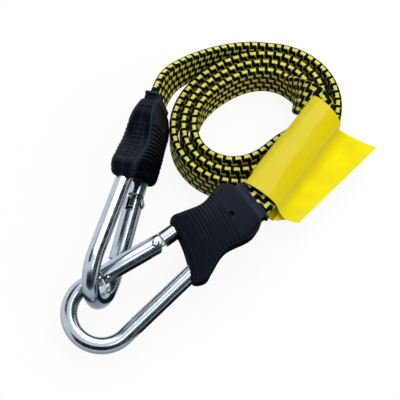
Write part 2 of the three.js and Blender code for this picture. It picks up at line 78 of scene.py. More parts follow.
def end_frame(letter):
    heading, slope, roll = (math.radians(angle) for angle in TURNS[letter])
    turn = Matrix.Rotation(heading, 4, "Z") @ Matrix.Rotation(slope, 4, "Y") @ Matrix.Rotation(roll, 4, "X")
    hinge = Vector(hinges[f"gate_{letter}_hinge"]["pos_m"])
    return Matrix.Translation(hinge - turn @ RIVET * MM) @ turn


ENDS = {letter: end_frame(letter) for letter in TURNS}
shift = ENDS["b"].translation / MM - MOUTH_B
shift.z = 0
for letter, matrix in ENDS.items():
    print(f"mouth of handle {letter}: {[round(x / MM, 1) for x in matrix.translation]} mm")

# %% [markdown]
# ## Camera
#
# The photograph looks down at about 60 degrees from the side of the hooks. The camera aims at a point in
# the middle of the picture, at half the height of the coil, and its field of view follows from how many
# millimetres one pixel of the 400 pixel wide picture covers there.

# %% Camera
PICTURE = 400
MM_PER_PIXEL = 0.488
ELEVATION = math.radians(60)
DISTANCE = 700
AIM_HEIGHT = 9
aim = (Vector((0, 0, AIM_HEIGHT)) + shift) * MM
eye = aim + Vector((0, -math.cos(ELEVATION), math.sin(ELEVATION))) * DISTANCE * MM


def placed(name, data):
    made = bpy.data.objects.new(name, data)
    bpy.context.scene.collection.objects.link(made)
    return made


camera_data = bpy.data.cameras.new("camera")
camera_data.angle = 2 * math.atan(PICTURE * MM_PER_PIXEL / 2 / DISTANCE)
camera = placed("camera", camera_data)
camera.location = eye
camera.rotation_euler = (aim - eye).to_track_quat("-Z", "Y").to_euler()
bpy.context.scene.camera = camera
bpy.context.scene.view_settings.view_transform = "Standard"
print(f"field of view: {math.degrees(camera_data.angle):.1f} degrees")

# %% [markdown]
# ## Helpers for nodes and meshes
#
# One function adds a node with its settings, for materials and for geometry alike. It hands the node's
# sockets to another, which sets a plain value and links a node or a socket. Colours are written as they
# look on a screen and turned to linear light. Most meshes here are skins wrapped over rows of rings, so
# one function lists their faces. Sizes are written in millimetres and turned to metres where a mesh is
# made.

# %% Helpers for nodes


def feed(tree, node, inputs):
    for key, value in inputs.items():
        if isinstance(value, bpy.types.Node):
            value = value.outputs[0]
        if isinstance(value, bpy.types.NodeSocket):
            tree.links.new(value, node.inputs[key])
        else:
            node.inputs[key].default_value = value
    return node


def add(tree, kind, inputs=None, **settings):
    node = tree.nodes.new(kind)
    for name, value in settings.items():
        setattr(node, name, value)
    return feed(tree, node, inputs or {})


def linear(colour):
    shares = [int(colour[i : i + 2], 16) / 255 for i in (1, 3, 5)]
    return [s / 12.92 if s <= 0.04045 else ((s + 0.055) / 1.055) ** 2.4 for s in shares] + [1]


def new_material(name, roughness, metallic=0.0, ior=1.5):
    material = bpy.data.materials.new(name)
    material.use_nodes = True
    tree = material.node_tree
    shader = tree.nodes["Principled BSDF"]
    feed(tree, shader, {"Roughness": roughness, "Metallic": metallic, "IOR": ior})
    return material, tree, shader


def dress(mesh, material):
    mesh.materials.clear()
    mesh.materials.append(material)


print("a screen's middle grey in linear light:", round(linear("#808080")[0], 3))

# %% Helpers for meshes


def new_piece(name, points, faces):
    mesh = bpy.data.meshes.new(name)
    mesh.from_pydata((np.asarray(points) * MM).tolist(), [], faces)
    return placed(name, mesh)


def baked(piece):
    graph = bpy.context.evaluated_depsgraph_get()
    mesh = bpy.data.meshes.new_from_object(piece.evaluated_get(graph))
    name = piece.name
    bpy.data.objects.remove(piece)
    mesh.name = name
    return placed(name, mesh)


def smooth(piece, sharp_angle=35):
    piece.data.shade_smooth()
    piece.data.set_sharp_from_angle(angle=math.radians(sharp_angle))
    return piece


def wrapped(rows, count, closed_ends=True):
    faces = []
    for row in range(rows - 1):
        for side in range(count):
            here, there = row * count + side, row * count + (side + 1) % count
            faces.append((here, there, there + count, here + count))
    if closed_ends:
        last = (rows - 1) * count
        faces.append(tuple(range(count))[::-1])
        faces.append(tuple(range(last, last + count)))
    return faces


# Zero below low and one above high, with a soft start and end
def step(low, high, value):
    share = np.clip((value - low) / (high - low), 0, 1)
    return share * share * (3 - 2 * share)


print("faces of a box wrapped over two square rings:", len(wrapped(rows=2, count=4)))

# %% [markdown]
# A geometry tree is built once, and several pieces may use it. Its sizes are named inputs, and each piece
# sets them by the socket's identifier before the tree first runs. The result is then turned into a plain
# mesh.

# %% Helpers for geometry trees


def new_tree(name, sizes):
    tree = bpy.data.node_groups.new(name, "GeometryNodeTree")
    tree.interface.new_socket("Geometry", in_out="INPUT", socket_type="NodeSocketGeometry")
    for size in sizes:
        tree.interface.new_socket(size, in_out="INPUT", socket_type="NodeSocketFloat")
    tree.interface.new_socket("Material", in_out="INPUT", socket_type="NodeSocketMaterial")
    tree.interface.new_socket("Geometry", in_out="OUTPUT", socket_type="NodeSocketGeometry")
    return tree, add(tree, "NodeGroupInput").outputs


def close_tree(tree, given, geometry):
    whole = add(tree, "GeometryNodeRealizeInstances", {"Geometry": geometry})
    finished = add(tree, "GeometryNodeSetMaterial", {"Geometry": whole, "Material": given["Material"]})
    add(tree, "NodeGroupOutput", {"Geometry": finished})
    return tree


def shaped(piece, tree, material, **sizes):
    modifier = piece.modifiers.new(tree.name, "NODES")
    modifier.node_group = tree
    named = {"Material": material, **sizes}
    for item in tree.interface.items_tree:
        if item.in_out == "INPUT" and item.name in named:
            modifier[item.identifier] = named[item.name]
    return baked(piece)


# %% [markdown]
# ## Woven strap: route
#
# The strap is about 0.87 m of flat elastic, 18 mm wide and 4 mm thick, seen from end to end. It leaves
# handle a, drops into the outermost turn of a coil that stands on its edge, winds inwards three times,
# tips over on its flat side, runs under the tag and into handle b. A plain curve object would turn its
# flat side as it likes, so each station of the route holds a point and the direction of the strap's
# width.

# %% Sizes of the strap and its coil
STRAP_WIDTH = 18
STRAP_THICKNESS = 4
STRAP_INSIDE = 16.7  # in each handle
EDGE_UP = STRAP_WIDTH / 2
COIL_RADIUS, COIL_OVAL, OVAL_ANGLE = 42.7, 3.4, math.radians(39)
PITCH_TIGHT, PITCH_SLACK, SLACK_ANGLE = 5.1, 3.8, math.radians(-45)
LEAD_START, COIL_START, COIL_END, TWIST_TURNS, JOIN = -0.2, 0.05, 3.1, 0.21, 0.003  # in turns
LEAD_STATIONS, LEAD_STRAIGHT_A, LEAD_STRAIGHT_B, LEAD_OUT, LEAD_DROP = 6, 6, 5, 2.2, 17
TWIST_STATIONS, TWIST_SLIDE, TWIST_GAP = 9, 10.5, 1.3
TIP_START, TIP_END = 0.15, 0.85  # of the twist
TAG_LINE, TAG_HEADING, TAG_FROM, LOOP_LENGTH = Vector((29, -5.6, 0)), math.radians(55.2), 7, 30
TAG_HEIGHT = 21.4
UP = Vector((0, 0, 1))
tag_along = Vector((math.cos(TAG_HEADING), math.sin(TAG_HEADING), 0))
tag_across = Vector((math.sin(TAG_HEADING), -math.cos(TAG_HEADING), 0))


def bearing(turns):
    return math.pi / 2 - 2 * math.pi * turns


def pitch_at(angle):
    return PITCH_TIGHT + PITCH_SLACK * ((1 + math.cos(angle - SLACK_ANGLE)) / 2) ** 3


def coil_reach(turns):
    angle = bearing(turns)
    return COIL_RADIUS + COIL_OVAL * math.cos(2 * (angle - OVAL_ANGLE)) - turns * pitch_at(angle)


def around(angle, reach, height):
    outward = Vector((math.cos(angle), math.sin(angle), 0))
    return COIL_MIDDLE + shift + outward * reach + UP * height


print(f"coil: {COIL_END - COIL_START:.2f} turns")

# %% Stations of the two leads


def from_end(letter, x):
    return ENDS[letter] @ Vector((x * MM, 0, 0)) / MM


def end_side(letter):
    return ENDS[letter].to_3x3() @ Vector((0, 1, 0))


def lead_a():
    side = end_side("a")
    stations = [(from_end("a", x), side) for x in (STRAP_INSIDE, 0, -LEAD_STRAIGHT_A)]
    for i in range(LEAD_STATIONS):
        turns = LEAD_START + (COIL_START - JOIN - LEAD_START) * i / (LEAD_STATIONS - 1)
        part = (COIL_START - turns) / (COIL_START - LEAD_START)
        reach = coil_reach(turns) + LEAD_OUT * part**3
        point = around(bearing(turns), reach, EDGE_UP + LEAD_DROP * part**1.6)
        stations.append((point, UP.lerp(side, part**2).normalized()))
    return stations


def lead_b():
    stations = []
    lean = STRAP_THICKNESS / 2 + TWIST_GAP
    for i in range(TWIST_STATIONS):
        part = i / (TWIST_STATIONS - 1)
        turns = COIL_END + JOIN + (TWIST_TURNS - JOIN) * part
        angle = bearing(turns)

        # The strap tips over in the middle of this stretch, while it slides up and out over the next turn
        tip = math.pi / 2 * float(step(TIP_START, TIP_END, part))
        slide = -EDGE_UP + (TWIST_SLIDE + EDGE_UP) * float(step(0, 1, part))
        near = pitch_at(angle) - STRAP_THICKNESS / 2
        reach = near + (lean - near) * min(1, 3 * part)
        corner = coil_reach(turns - 1) - STRAP_THICKNESS / 2
        out = corner - reach * math.cos(tip) + slide * math.sin(tip)
        high = STRAP_WIDTH + lean * math.sin(tip) + slide * math.cos(tip)
        outward = Vector((math.cos(angle), math.sin(angle), 0))
        stations.append((around(angle, out, high), outward * math.sin(tip) + UP * math.cos(tip)))

    # From there it runs straight through the tag's loop and into the handle
    for m in (LOOP_LENGTH + 2, LOOP_LENGTH / 2, -1):
        stations.append((TAG_LINE + shift + tag_along * (TAG_FROM + m) + UP * TAG_HEIGHT, tag_across))
    return stations + [(from_end("b", x), end_side("b")) for x in (-LEAD_STRAIGHT_B, 0, STRAP_INSIDE)]


print("stations of the leads:", len(lead_a()), len(lead_b()))

# %% [markdown]
# The stations are joined by a centripetal spline, which keeps even bends where stations are unevenly
# spaced. Then the whole route is cut into short equal steps, and the directions of the width are averaged
# over a few steps, because real webbing twists gradually.

# %% Join the stations and space them evenly
STEP_LENGTH = 0.7
COIL_STEP = 0.002  # of a turn


def spline(stations, steps=16):
    points = np.array([list(point) for point, _ in stations])
    widths = np.array([list(width) for _, width in stations])
    points = np.vstack([2 * points[0] - points[1], points, 2 * points[-1] - points[-2]])
    run, sides = [], []
    for i in range(len(widths) - 1):
        p0, p1, p2, p3 = points[i : i + 4]
        d0, d1, d2 = (np.linalg.norm(b - a) ** 0.5 for a, b in ((p0, p1), (p1, p2), (p2, p3)))
        m1 = d1 * ((p1 - p0) / d0 - (p2 - p0) / (d0 + d1) + (p2 - p1) / d1)
        m2 = d1 * ((p2 - p1) / d1 - (p3 - p1) / (d1 + d2) + (p3 - p2) / d2)
        for t in np.arange(steps) / steps:
            cubic = (2 * p1 - 2 * p2 + m1 + m2) * t**3 + (3 * p2 - 3 * p1 - 2 * m1 - m2) * t**2
            run.append(cubic + m1 * t + p1)
            sides.append(widths[i] * (1 - t) + widths[i + 1] * t)
    return run, sides


def coil_run():
    turns = np.arange(COIL_START, COIL_END, COIL_STEP)
    return [list(around(bearing(t), coil_reach(t), EDGE_UP)) for t in turns], [list(UP)] * len(turns)


def eased(values, reach):
    padded = np.pad(values, ((reach, reach), (0, 0)), mode="edge")
    return sum(padded[i : i + len(values)] for i in range(2 * reach + 1)) / (2 * reach + 1)


runs = [spline(lead_a()), coil_run(), spline(lead_b())]
line = np.array([point for run, _ in runs for point in run])
width = np.array([side for _, sides in runs for side in sides])
travel = np.concatenate([[0], np.cumsum(np.linalg.norm(np.diff(line, axis=0), axis=1))])
STRAP_LENGTH = travel[-1]
places = np.linspace(0, STRAP_LENGTH, round(STRAP_LENGTH / STEP_LENGTH))
line = np.stack([np.interp(places, travel, line[:, k]) for k in range(3)], axis=1)
width = np.stack([np.interp(places, travel, width[:, k]) for k in range(3)], axis=1)
width = eased(width, reach=5)
line = eased(line, reach=1)
print(f"strap: {STRAP_LENGTH:.1f} mm long in {len(line)} rings")

# %% [markdown]
# ## Woven strap: cover
#
# Elastic webbing like this has a sleeve of yellow and black polyester yarn over rubber. The yellow yarn
# shows as rows of small blocks, ten rows round the strap. In each block five strands float side by side
# across the strap, and one of them runs on slantwise to the next row, which starts a little further
# along. A picture of the weave would blur from near by, so nodes draw it. A UV map counts rows round the
# strap and repeats along it, so the pattern follows every edge and turn.

# %% Woven polyester yarn
YARN_YELLOW, YARN_BLACK = "#ebe966", "#070605"
ROWS_ROUND = 10
REPEAT = 4.5  # millimetres from block to block
ROW_SHIFT = 0.6  # of a repeat from row to row
BLOCK_LONG, BLOCK_HIGH = 0.64, 0.42  # of a repeat, and of a row
STRANDS, BLACK_YARNS = 8, 7  # in a repeat, and in a row
RAGGED = 0.06  # of a row, between the ends of neighbouring strands
STRAND_HALF, STRAND_SUNK = 0.05, 0.45  # half the slanting strand's width in repeats, and how much of it shows
STRAND_LEAVES, STRAND_MEETS = 0.51, 0.65  # of a repeat, where that strand starts and ends


def weave_place(tree, threads):
    split = add(tree, "ShaderNodeSeparateXYZ", {0: threads}).outputs
    row = add(tree, "ShaderNodeMath", {0: split[0]}, operation="FLOOR")
    high = add(tree, "ShaderNodeMath", {0: split[0]}, operation="FRACT")
    shifted = {0: row, 1: -ROW_SHIFT, 2: split[1]}
    shifted = add(tree, "ShaderNodeMath", shifted, operation="MULTIPLY_ADD")
    return add(tree, "ShaderNodeMath", {0: shifted}, operation="FRACT"), high


def woven_polyester():
    material, tree, shader = new_material("woven_polyester_over_rubber", roughness=0.75)
    spot = add(tree, "ShaderNodeTexCoord").outputs["Object"]
    threads = add(tree, "ShaderNodeUVMap", uv_map="threads")
    place, high = weave_place(tree, threads)

    # Strands lie side by side, and every other one starts and ends a little higher
    count = add(tree, "ShaderNodeMath", {0: place, 1: float(STRANDS)}, operation="MULTIPLY")
    number = add(tree, "ShaderNodeMath", {0: count}, operation="FLOOR")
    odd = add(tree, "ShaderNodeMath", {0: number, 1: 2.0}, operation="MODULO")
    ragged = add(tree, "ShaderNodeMath", {0: odd, 1: -RAGGED, 2: high}, operation="MULTIPLY_ADD")
    in_length = add(tree, "ShaderNodeMath", {0: place, 1: BLOCK_LONG}, operation="LESS_THAN")
    in_height = {0: ragged, 1: BLOCK_HIGH / 2, 2: BLOCK_HIGH / 2}
    in_height = add(tree, "ShaderNodeMath", in_height, operation="COMPARE")
    block = add(tree, "ShaderNodeMath", {0: in_length, 1: in_height}, operation="MULTIPLY")

    # The strand that runs on leaves the block near its end and slants to the start of the next one
    slant = {"Value": high, "From Min": BLOCK_HIGH, "To Min": STRAND_LEAVES, "To Max": STRAND_MEETS}
    slant = add(tree, "ShaderNodeMapRange", slant)
    on_strand = add(tree, "ShaderNodeMath", {0: place, 1: slant, 2: STRAND_HALF}, operation="COMPARE")
    sunk = add(tree, "ShaderNodeMath", {0: on_strand, 1: STRAND_SUNK}, operation="MULTIPLY")
    is_yellow = add(tree, "ShaderNodeMath", {0: block, 1: sunk}, operation="MAXIMUM")

    # A yarn is round, so it is highest along its middle; black yarn lies lengthwise
    crowns = []
    lengthwise = add(tree, "ShaderNodeMath", {0: high, 1: float(BLACK_YARNS)}, operation="MULTIPLY")
    for value in (lengthwise, count):
        across = add(tree, "ShaderNodeMath", {0: value}, operation="FRACT")
        half_turn = add(tree, "ShaderNodeMath", {0: across, 1: math.pi}, operation="MULTIPLY")
        crowns.append(add(tree, "ShaderNodeMath", {0: half_turn}, operation="SINE"))
    crown = add(tree, "ShaderNodeMix", {0: is_yellow, 2: crowns[0], 3: crowns[1]}, data_type="FLOAT")
    height = add(tree, "ShaderNodeMath", {0: crown, 1: is_yellow}, operation="ADD")
    bump = add(tree, "ShaderNodeBump", {"Strength": 0.7, "Distance": 0.16 * MM, "Height": height})

    # Yarn differs a little in dye, and the valleys between strands are painted darker, a painted shade
    dye = add(tree, "ShaderNodeTexNoise", {"Vector": spot, "Scale": 1 / (5 * MM), "Detail": 3.0})
    tone = {"Value": dye, "From Min": 0.3, "From Max": 0.7, "To Min": 0.8}
    tone = add(tree, "ShaderNodeMapRange", tone)
    valley_shade = add(tree, "ShaderNodeMapRange", {"Value": crown, "From Max": 0.7, "To Min": 0.6})
    shade = add(tree, "ShaderNodeMath", {0: tone, 1: valley_shade}, operation="MULTIPLY")
    pair = {0: is_yellow, 6: linear(YARN_BLACK), 7: linear(YARN_YELLOW)}
    yarn = add(tree, "ShaderNodeMix", pair, data_type="RGBA").outputs[2]
    shaded = {0: 1.0, 6: yarn, 7: shade}
    colour = add(tree, "ShaderNodeMix", shaded, data_type="RGBA", blend_type="MULTIPLY").outputs[2]
    feed(tree, shader, {"Base Color": colour, "Normal": bump, "Specular IOR Level": 0.08})
    return material


woven = woven_polyester()
print("material:", woven.name)

# %% [markdown]
# The cover is a mesh swept along the route, because the width has to point where the stations say. Its
# section is an oblong with round edges. A geometry tree then lifts the floats of the weave by a fifth of
# a millimetre, which roughens the outline of the strap as the real yarn does.

# %% Sweep the strap and lift the weave
SECTION_POINTS = 60
EDGE_ROUND, EDGE_POINTS = 1.5, 9
FLOAT_HEIGHT, FLOAT_EASE = 0.2, 0.08  # in millimetres, and in repeats and rows


def strap_section():
    flat_z = STRAP_THICKNESS / 2 - EDGE_ROUND
    flat_y = STRAP_WIDTH / 2 - EDGE_ROUND
    quarter = np.linspace(0, math.pi / 2, EDGE_POINTS)
    corners = []
    for k, (y, z) in enumerate(((flat_y, flat_z), (-flat_y, flat_z), (-flat_y, -flat_z), (flat_y, -flat_z))):
        turn = quarter + k * math.pi / 2
        corners.append(np.stack([y + EDGE_ROUND * np.cos(turn), z + EDGE_ROUND * np.sin(turn)], axis=1))
    outline = np.vstack([[[STRAP_WIDTH / 2, 0]], *corners, [[STRAP_WIDTH / 2, 0]]])
    lengths = np.concatenate([[0], np.cumsum(np.linalg.norm(np.diff(outline, axis=0), axis=1))])
    even = np.linspace(0, lengths[-1], SECTION_POINTS, endpoint=False)
    return np.stack([np.interp(even, lengths, outline[:, k]) for k in (0, 1)], axis=1)


def weave_relief():
    tree, given = new_tree("weave_relief", ["Height", "Block length", "Block height"])
    threads = add(tree, "GeometryNodeInputNamedAttribute", {"Name": "threads"}, data_type="FLOAT_VECTOR")
    lift = given["Height"]
    for value, size in zip(weave_place(tree, threads), ("Block length", "Block height")):
        middle = add(tree, "ShaderNodeMath", {0: given[size], 1: 2.0}, operation="DIVIDE")
        apart = add(tree, "ShaderNodeMath", {0: value, 1: middle}, operation="SUBTRACT")
        apart = add(tree, "ShaderNodeMath", {0: apart}, operation="ABSOLUTE")
        window = {"Value": apart, "From Min": middle, "From Max": FLOAT_EASE}
        window = add(tree, "ShaderNodeMapRange", window, interpolation_type="SMOOTHSTEP")
        lift = add(tree, "ShaderNodeMath", {0: lift, 1: window}, operation="MULTIPLY")
    normal = add(tree, "GeometryNodeInputNormal")
    offset = add(tree, "ShaderNodeVectorMath", {0: normal, "Scale": lift}, operation="SCALE")
    lifted = add(tree, "GeometryNodeSetPosition", {"Geometry": given["Geometry"], "Offset": offset})
    return close_tree(tree, given, lifted)


def woven_strap():
    along = np.gradient(line, axis=0)
    along /= np.linalg.norm(along, axis=1, keepdims=True)
    side = width - along * np.sum(width * along, axis=1, keepdims=True)
    side /= np.linalg.norm(side, axis=1, keepdims=True)
    face = np.cross(along, side)
    section = strap_section()
    rings = line[:, None] + side[:, None] * section[None, :, :1] + face[:, None] * section[None, :, 1:]
    piece = new_piece("woven_strap", rings.reshape(-1, 3), wrapped(len(line), SECTION_POINTS))
    row_step = ROWS_ROUND / SECTION_POINTS
    column = np.arange(SECTION_POINTS) * row_step + BLOCK_HIGH / 2
    repeat = np.linspace(0, STRAP_LENGTH / REPEAT, len(line))
    uv = np.zeros((len(line) - 1, SECTION_POINTS, 4, 2))
    uv[..., 0] = np.stack([column, column + row_step, column + row_step, column], axis=1)[None]
    uv[..., 1] = np.stack([repeat[:-1], repeat[:-1], repeat[1:], repeat[1:]], axis=1)[:, None]
    layer = piece.data.uv_layers.new(name="threads")
    flat_uv = np.zeros((len(piece.data.loops), 2))
    flat_uv[: uv.size // 2] = uv.reshape(-1, 2)
    layer.data.foreach_set("uv", flat_uv.ravel())
    piece.data.shade_smooth()
    sizes = {"Height": FLOAT_HEIGHT * MM, "Block length": BLOCK_LONG, "Block height": BLOCK_HIGH}
    return shaped(piece, weave_relief(), woven, **sizes)


strap = woven_strap()
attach(strap, "cord")
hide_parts("strap_lead_a", "strap_coil", "strap_lead_b")
print("strap faces:", len(strap.data.polygons))

# %% [markdown]
# ## Bright zinc-plated steel
#
# The hooks are bent from 8 mm steel wire and plated with bright zinc, which gives a pale, slightly blue
# mirror with a soft haze. Fine die marks and the crystals of the plating vary the gloss, so the roughness
# follows a noise of about 5 mm and a bump of about half a millimetre. The real marks are finer than that,
# and are drawn as coarse as they need to be to show. The sides that face down or away are painted darker,
# a painted shade that also stands for the dark reflections there; there is more of it on the gates than
# on the wire, so the tone follows the upward normal.

# %% Zinc plate and spring steel


def plated_steel(name, colour, dull, underside_shade, roughness, patch, grit):
    material, tree, shader = new_material(name, roughness, metallic=1.0)
    coordinates = add(tree, "ShaderNodeTexCoord").outputs
    spot = coordinates["Object"]
    haze = {"Vector": spot, "Scale": 1 / (patch * MM), "Detail": 3.0, "Roughness": 0.6}
    haze = add(tree, "ShaderNodeTexNoise", haze)
    tones = {0: haze, 6: linear(colour), 7: linear(dull)}
    plating = add(tree, "ShaderNodeMix", tones, data_type="RGBA").outputs[2]
    # Surfaces that face down or away are painted darker: painted shade and painted dark reflection
    upward = add(tree, "ShaderNodeSeparateXYZ", {0: coordinates["Normal"]}).outputs["Z"]
    underside_share = {"Value": upward, "From Min": 0.75, "From Max": 0.1}
    underside_share = add(tree, "ShaderNodeMapRange", underside_share, interpolation_type="SMOOTHSTEP")
    underside_mix = {0: underside_share, 6: plating, 7: linear(underside_shade)}
    tone = add(tree, "ShaderNodeMix", underside_mix, data_type="RGBA").outputs[2]
    gloss = {"Value": haze, "From Min": 0.3, "From Max": 0.7}
    gloss |= {"To Min": roughness - 0.06, "To Max": roughness + 0.1}
    gloss = add(tree, "ShaderNodeMapRange", gloss)
    grain = add(tree, "ShaderNodeTexNoise", {"Vector": spot, "Scale": 1 / (grit * MM), "Detail": 2.0})
    bump = add(tree, "ShaderNodeBump", {"Strength": 0.1, "Distance": 0.015 * MM, "Height": grain})
    feed(tree, shader, {"Base Color": tone, "Roughness": gloss, "Normal": bump})
    return material


PLATED = {"colour": "#c3d0da", "dull": "#a7b5c1", "roughness": 0.17, "patch": 5, "grit": 0.5}
DRAWN = {"colour": "#a9acb0", "dull": "#87898d", "roughness": 0.32, "patch": 1.5, "grit": 0.2}
# The third colour is the painted shade on the undersides, darkest on the gates
zinc = plated_steel("bright_zinc_plated_steel", underside_shade="#76838f", **PLATED)
dark_underside_zinc = plated_steel("zinc_plated_steel_with_painted_underside", underside_shade="#39434d", **PLATED)
spring = plated_steel("drawn_spring_steel", underside_shade="#6c7074", **DRAWN)
for letter in ENDS:
    for node in (f"gate_plunger_{letter}", f"gate_spring_{letter}"):
        dress(frame["nodes"][node].data, spring)
print("materials:", zinc.name, dark_underside_zinc.name, spring.name)

# %% [markdown]
# ## Hook wires
#
# Each hook is one wire: a short stub for the gate, a crossbar that the handle is moulded over, a long
# leg, a round bend and a nose. A curve with a bevel could make it. A geometry tree that sweeps a round
# section along the path was chosen because its radius is an input: with a slightly larger one, the same
# tree makes the channel that is cut out of the handle.

# %% Path of the wire
WIRE_RADIUS = 4
BEND, BEND_RADIUS = np.array([86.5, 1.0]), 15.3
LEG = np.array([40, 10.4])
CROSSBAR_X, CROSSBAR_CORNER = 25, 6
GATE_LENGTH, GATE_TAIL, NOSE_GAP, STUB_GAP, PLAY = 29.4, 3.4, 0.9, 0.5, 0.3
STUB_END = RIVET.x - GATE_TAIL - PLAY - STUB_GAP


def tangent_angle(start, side):
    reach = BEND - start
    return math.atan2(reach[1], reach[0]) + side * math.asin(BEND_RADIUS / np.linalg.norm(reach))


def arc(x, y, radius, first, last, count):
    angles = np.linspace(first, last, count)
    return [(x + radius * math.cos(a), y + radius * math.sin(a), 0) for a in angles]


LEG_ANGLE = tangent_angle(LEG, 1)
GATE_ANGLE = tangent_angle(np.array([RIVET.x, STUB_Y]), -1)
GATE_FRAME = Matrix.Translation(RIVET * MM) @ Matrix.Rotation(GATE_ANGLE, 4, "Z")


def wire_path():
    turn = math.pi / 2 - LEG_ANGLE
    long_y = LEG[1] - (LEG[0] - CROSSBAR_X) * math.tan(LEG_ANGLE) - CROSSBAR_CORNER * math.tan(turn / 2)
    inner = CROSSBAR_X + CROSSBAR_CORNER
    nose = GATE_FRAME @ Vector(((GATE_LENGTH + NOSE_GAP) * MM, 0, 0)) / MM
    path = [(STUB_END, STUB_Y, 0)]
    path += arc(inner, STUB_Y + CROSSBAR_CORNER, CROSSBAR_CORNER, -math.pi / 2, -math.pi, 12)
    path += arc(inner, long_y, CROSSBAR_CORNER, math.pi, math.pi - turn, 12)
    path += arc(*BEND, BEND_RADIUS, LEG_ANGLE + math.pi / 2, GATE_ANGLE - math.pi / 2, 60)
    return path + [tuple(nose)]


def rod_along_path():
    tree, given = new_tree("rod_along_path", ["Radius"])
    section = {"Resolution": 40, "Radius": given["Radius"]}
    section = add(tree, "GeometryNodeCurvePrimitiveCircle", section)
    swept = {"Curve": given["Geometry"], "Profile Curve": section, "Fill Caps": True}
    return close_tree(tree, given, add(tree, "GeometryNodeCurveToMesh", swept))


def rod(name, path, radius):
    curve = bpy.data.curves.new(name, "CURVE")
    curve.dimensions = "3D"
    run = curve.splines.new("POLY")
    run.points.add(len(path) - 1)
    for point, place in zip(run.points, path):
        point.co = (*(MM * x for x in place), 1)
    return shaped(placed(name, curve), ROD_TREE, zinc, Radius=radius * MM)


ROD_TREE = rod_along_path()
wire = rod("wire", wire_path(), WIRE_RADIUS)
print("wire faces:", len(wire.data.polygons))

# %% [markdown]
# The ends of the wire are forged flat, into a tongue under the gate's rivet and another that the gate's
# tip closes over. Flat parts are lofted through oblong rings, with a small round on every edge. Cutting
# and fusing use exact booleans, baked at once, so no live modifier stays on a piece.

# %% Helpers for solid parts
SHARP = {"corner": 0.05, "ease": 0.02}  # edges of a block that only cuts


def both(half):
    return -half, half


def oblong(y0, y1, z0, z1, corner, points=6):
    corner = min(corner, (y1 - y0) / 2.01, (z1 - z0) / 2.01)
    quarter = np.linspace(0, math.pi / 2, points)
    outline = []
    for k, (y, z) in enumerate(((y1, z1), (y0, z1), (y0, z0), (y1, z0))):
        centre_y = y - corner if y == y1 else y + corner
        centre_z = z - corner if z == z1 else z + corner
        turn = quarter + k * math.pi / 2
        outline += list(zip(centre_y + corner * np.cos(turn), centre_z + corner * np.sin(turn)))
    return outline


def lofted(name, rings):
    points = [(x, y, z) for x, outline in rings for y, z in outline]
    return new_piece(name, points, wrapped(len(rings), len(rings[0][1])))


def block(name, x, y, z, corner, ease=0.25):
    stops = [(x[0], ease), (x[0] + 0.3 * ease, 0.3 * ease), (x[0] + ease, 0)]
    stops += [(x[0] + x[1] - place, inset) for place, inset in reversed(stops)]
    rings = []
    for place, inset in stops:
        rings.append((place, oblong(y[0] + inset, y[1] - inset, z[0] + inset, z[1] - inset, corner)))
    return lofted(name, rings)


def turned(name, profile, sides):
    angles = np.arange(sides) * 2 * math.pi / sides
    return lofted(name, [(x, [(r * math.cos(a), r * math.sin(a)) for a in angles]) for x, r in profile])


def both_ways(half_profile):
    return [(-x, radius) for x, radius in half_profile] + half_profile[::-1]


def moved(piece, matrix):
    piece.data.transform(matrix)
    return piece


def combined(piece, operation, *tools):
    for tool in tools:
        modifier = piece.modifiers.new(operation, "BOOLEAN")
        modifier.operation = operation
        modifier.solver = "EXACT"
        modifier.object = tool
    result = baked(piece)
    for tool in tools:
        bpy.data.objects.remove(tool)
    return result


def cross_rod(name, x, y, radius, half_length):
    upright = Matrix.Translation((x * MM, y * MM, 0)) @ Matrix.Rotation(math.pi / 2, 4, "Y")
    return moved(turned(name, [(-half_length, radius), (half_length, radius)], sides=32), upright)


print("points of an oblong outline:", len(oblong(0, 2, 0, 1, corner=0.2)))

# %% Forge the tongues
TONGUE_THICK, TONGUE_HIGH, TONGUE_END, TONGUE_CORNER, TONGUE_ROOT = 1.6, 2.6, 2.4, 0.4, 1
NOSE_LONG, NOSE_LOW, NOSE_CLEAR = 4.2, -3.2, 0.1
RIVET_RADIUS = 1.25
CATCH_Y, CATCH_RADIUS, CATCH_SET_BACK = 2.5, 0.9, 2.2
CATCH_FLOOR = CATCH_Y - CATCH_RADIUS
DRILL = 8  # half the length of a drill through the gate


def hook_wire(blank):
    thick = both(TONGUE_THICK)
    rear_x = (STUB_END - TONGUE_ROOT, RIVET.x + TONGUE_END)
    rear_y = (STUB_Y - TONGUE_HIGH, STUB_Y + TONGUE_HIGH)
    rear = block("rear_tongue", rear_x, rear_y, thick, TONGUE_CORNER)
    nose_x = (GATE_LENGTH - NOSE_LONG, GATE_LENGTH + NOSE_GAP + TONGUE_ROOT)
    nose_y = (NOSE_LOW, CATCH_FLOOR - PLAY - NOSE_CLEAR)
    nose = moved(block("nose_tongue", nose_x, nose_y, thick, TONGUE_CORNER), GATE_FRAME)
    forged = combined(blank, "UNION", rear, nose)
    rivet_way = cross_rod("rivet_way", RIVET.x, RIVET.y, RIVET_RADIUS + PLAY, DRILL)
    return combined(forged, "DIFFERENCE", rivet_way)


wire = smooth(hook_wire(wire))
print("forged wire faces:", len(wire.data.polygons))

# %% [markdown]
# ## Gate
#
# The gate is a sleeve of the same steel that turns on a rivet and closes over the nose. Its slots would
# be slow to model face by face, so it is made as a workshop makes it: turned as one round body with eased
# rims, and then cut. There is a fork at the rear for the rivet's tongue, a bore for the plunger and its
# spring, and a slot at the tip where a catch pin rests on the nose. The rear rim is cut away at a slant
# on its inner side, so that it stays clear of the stub when the gate swings in.

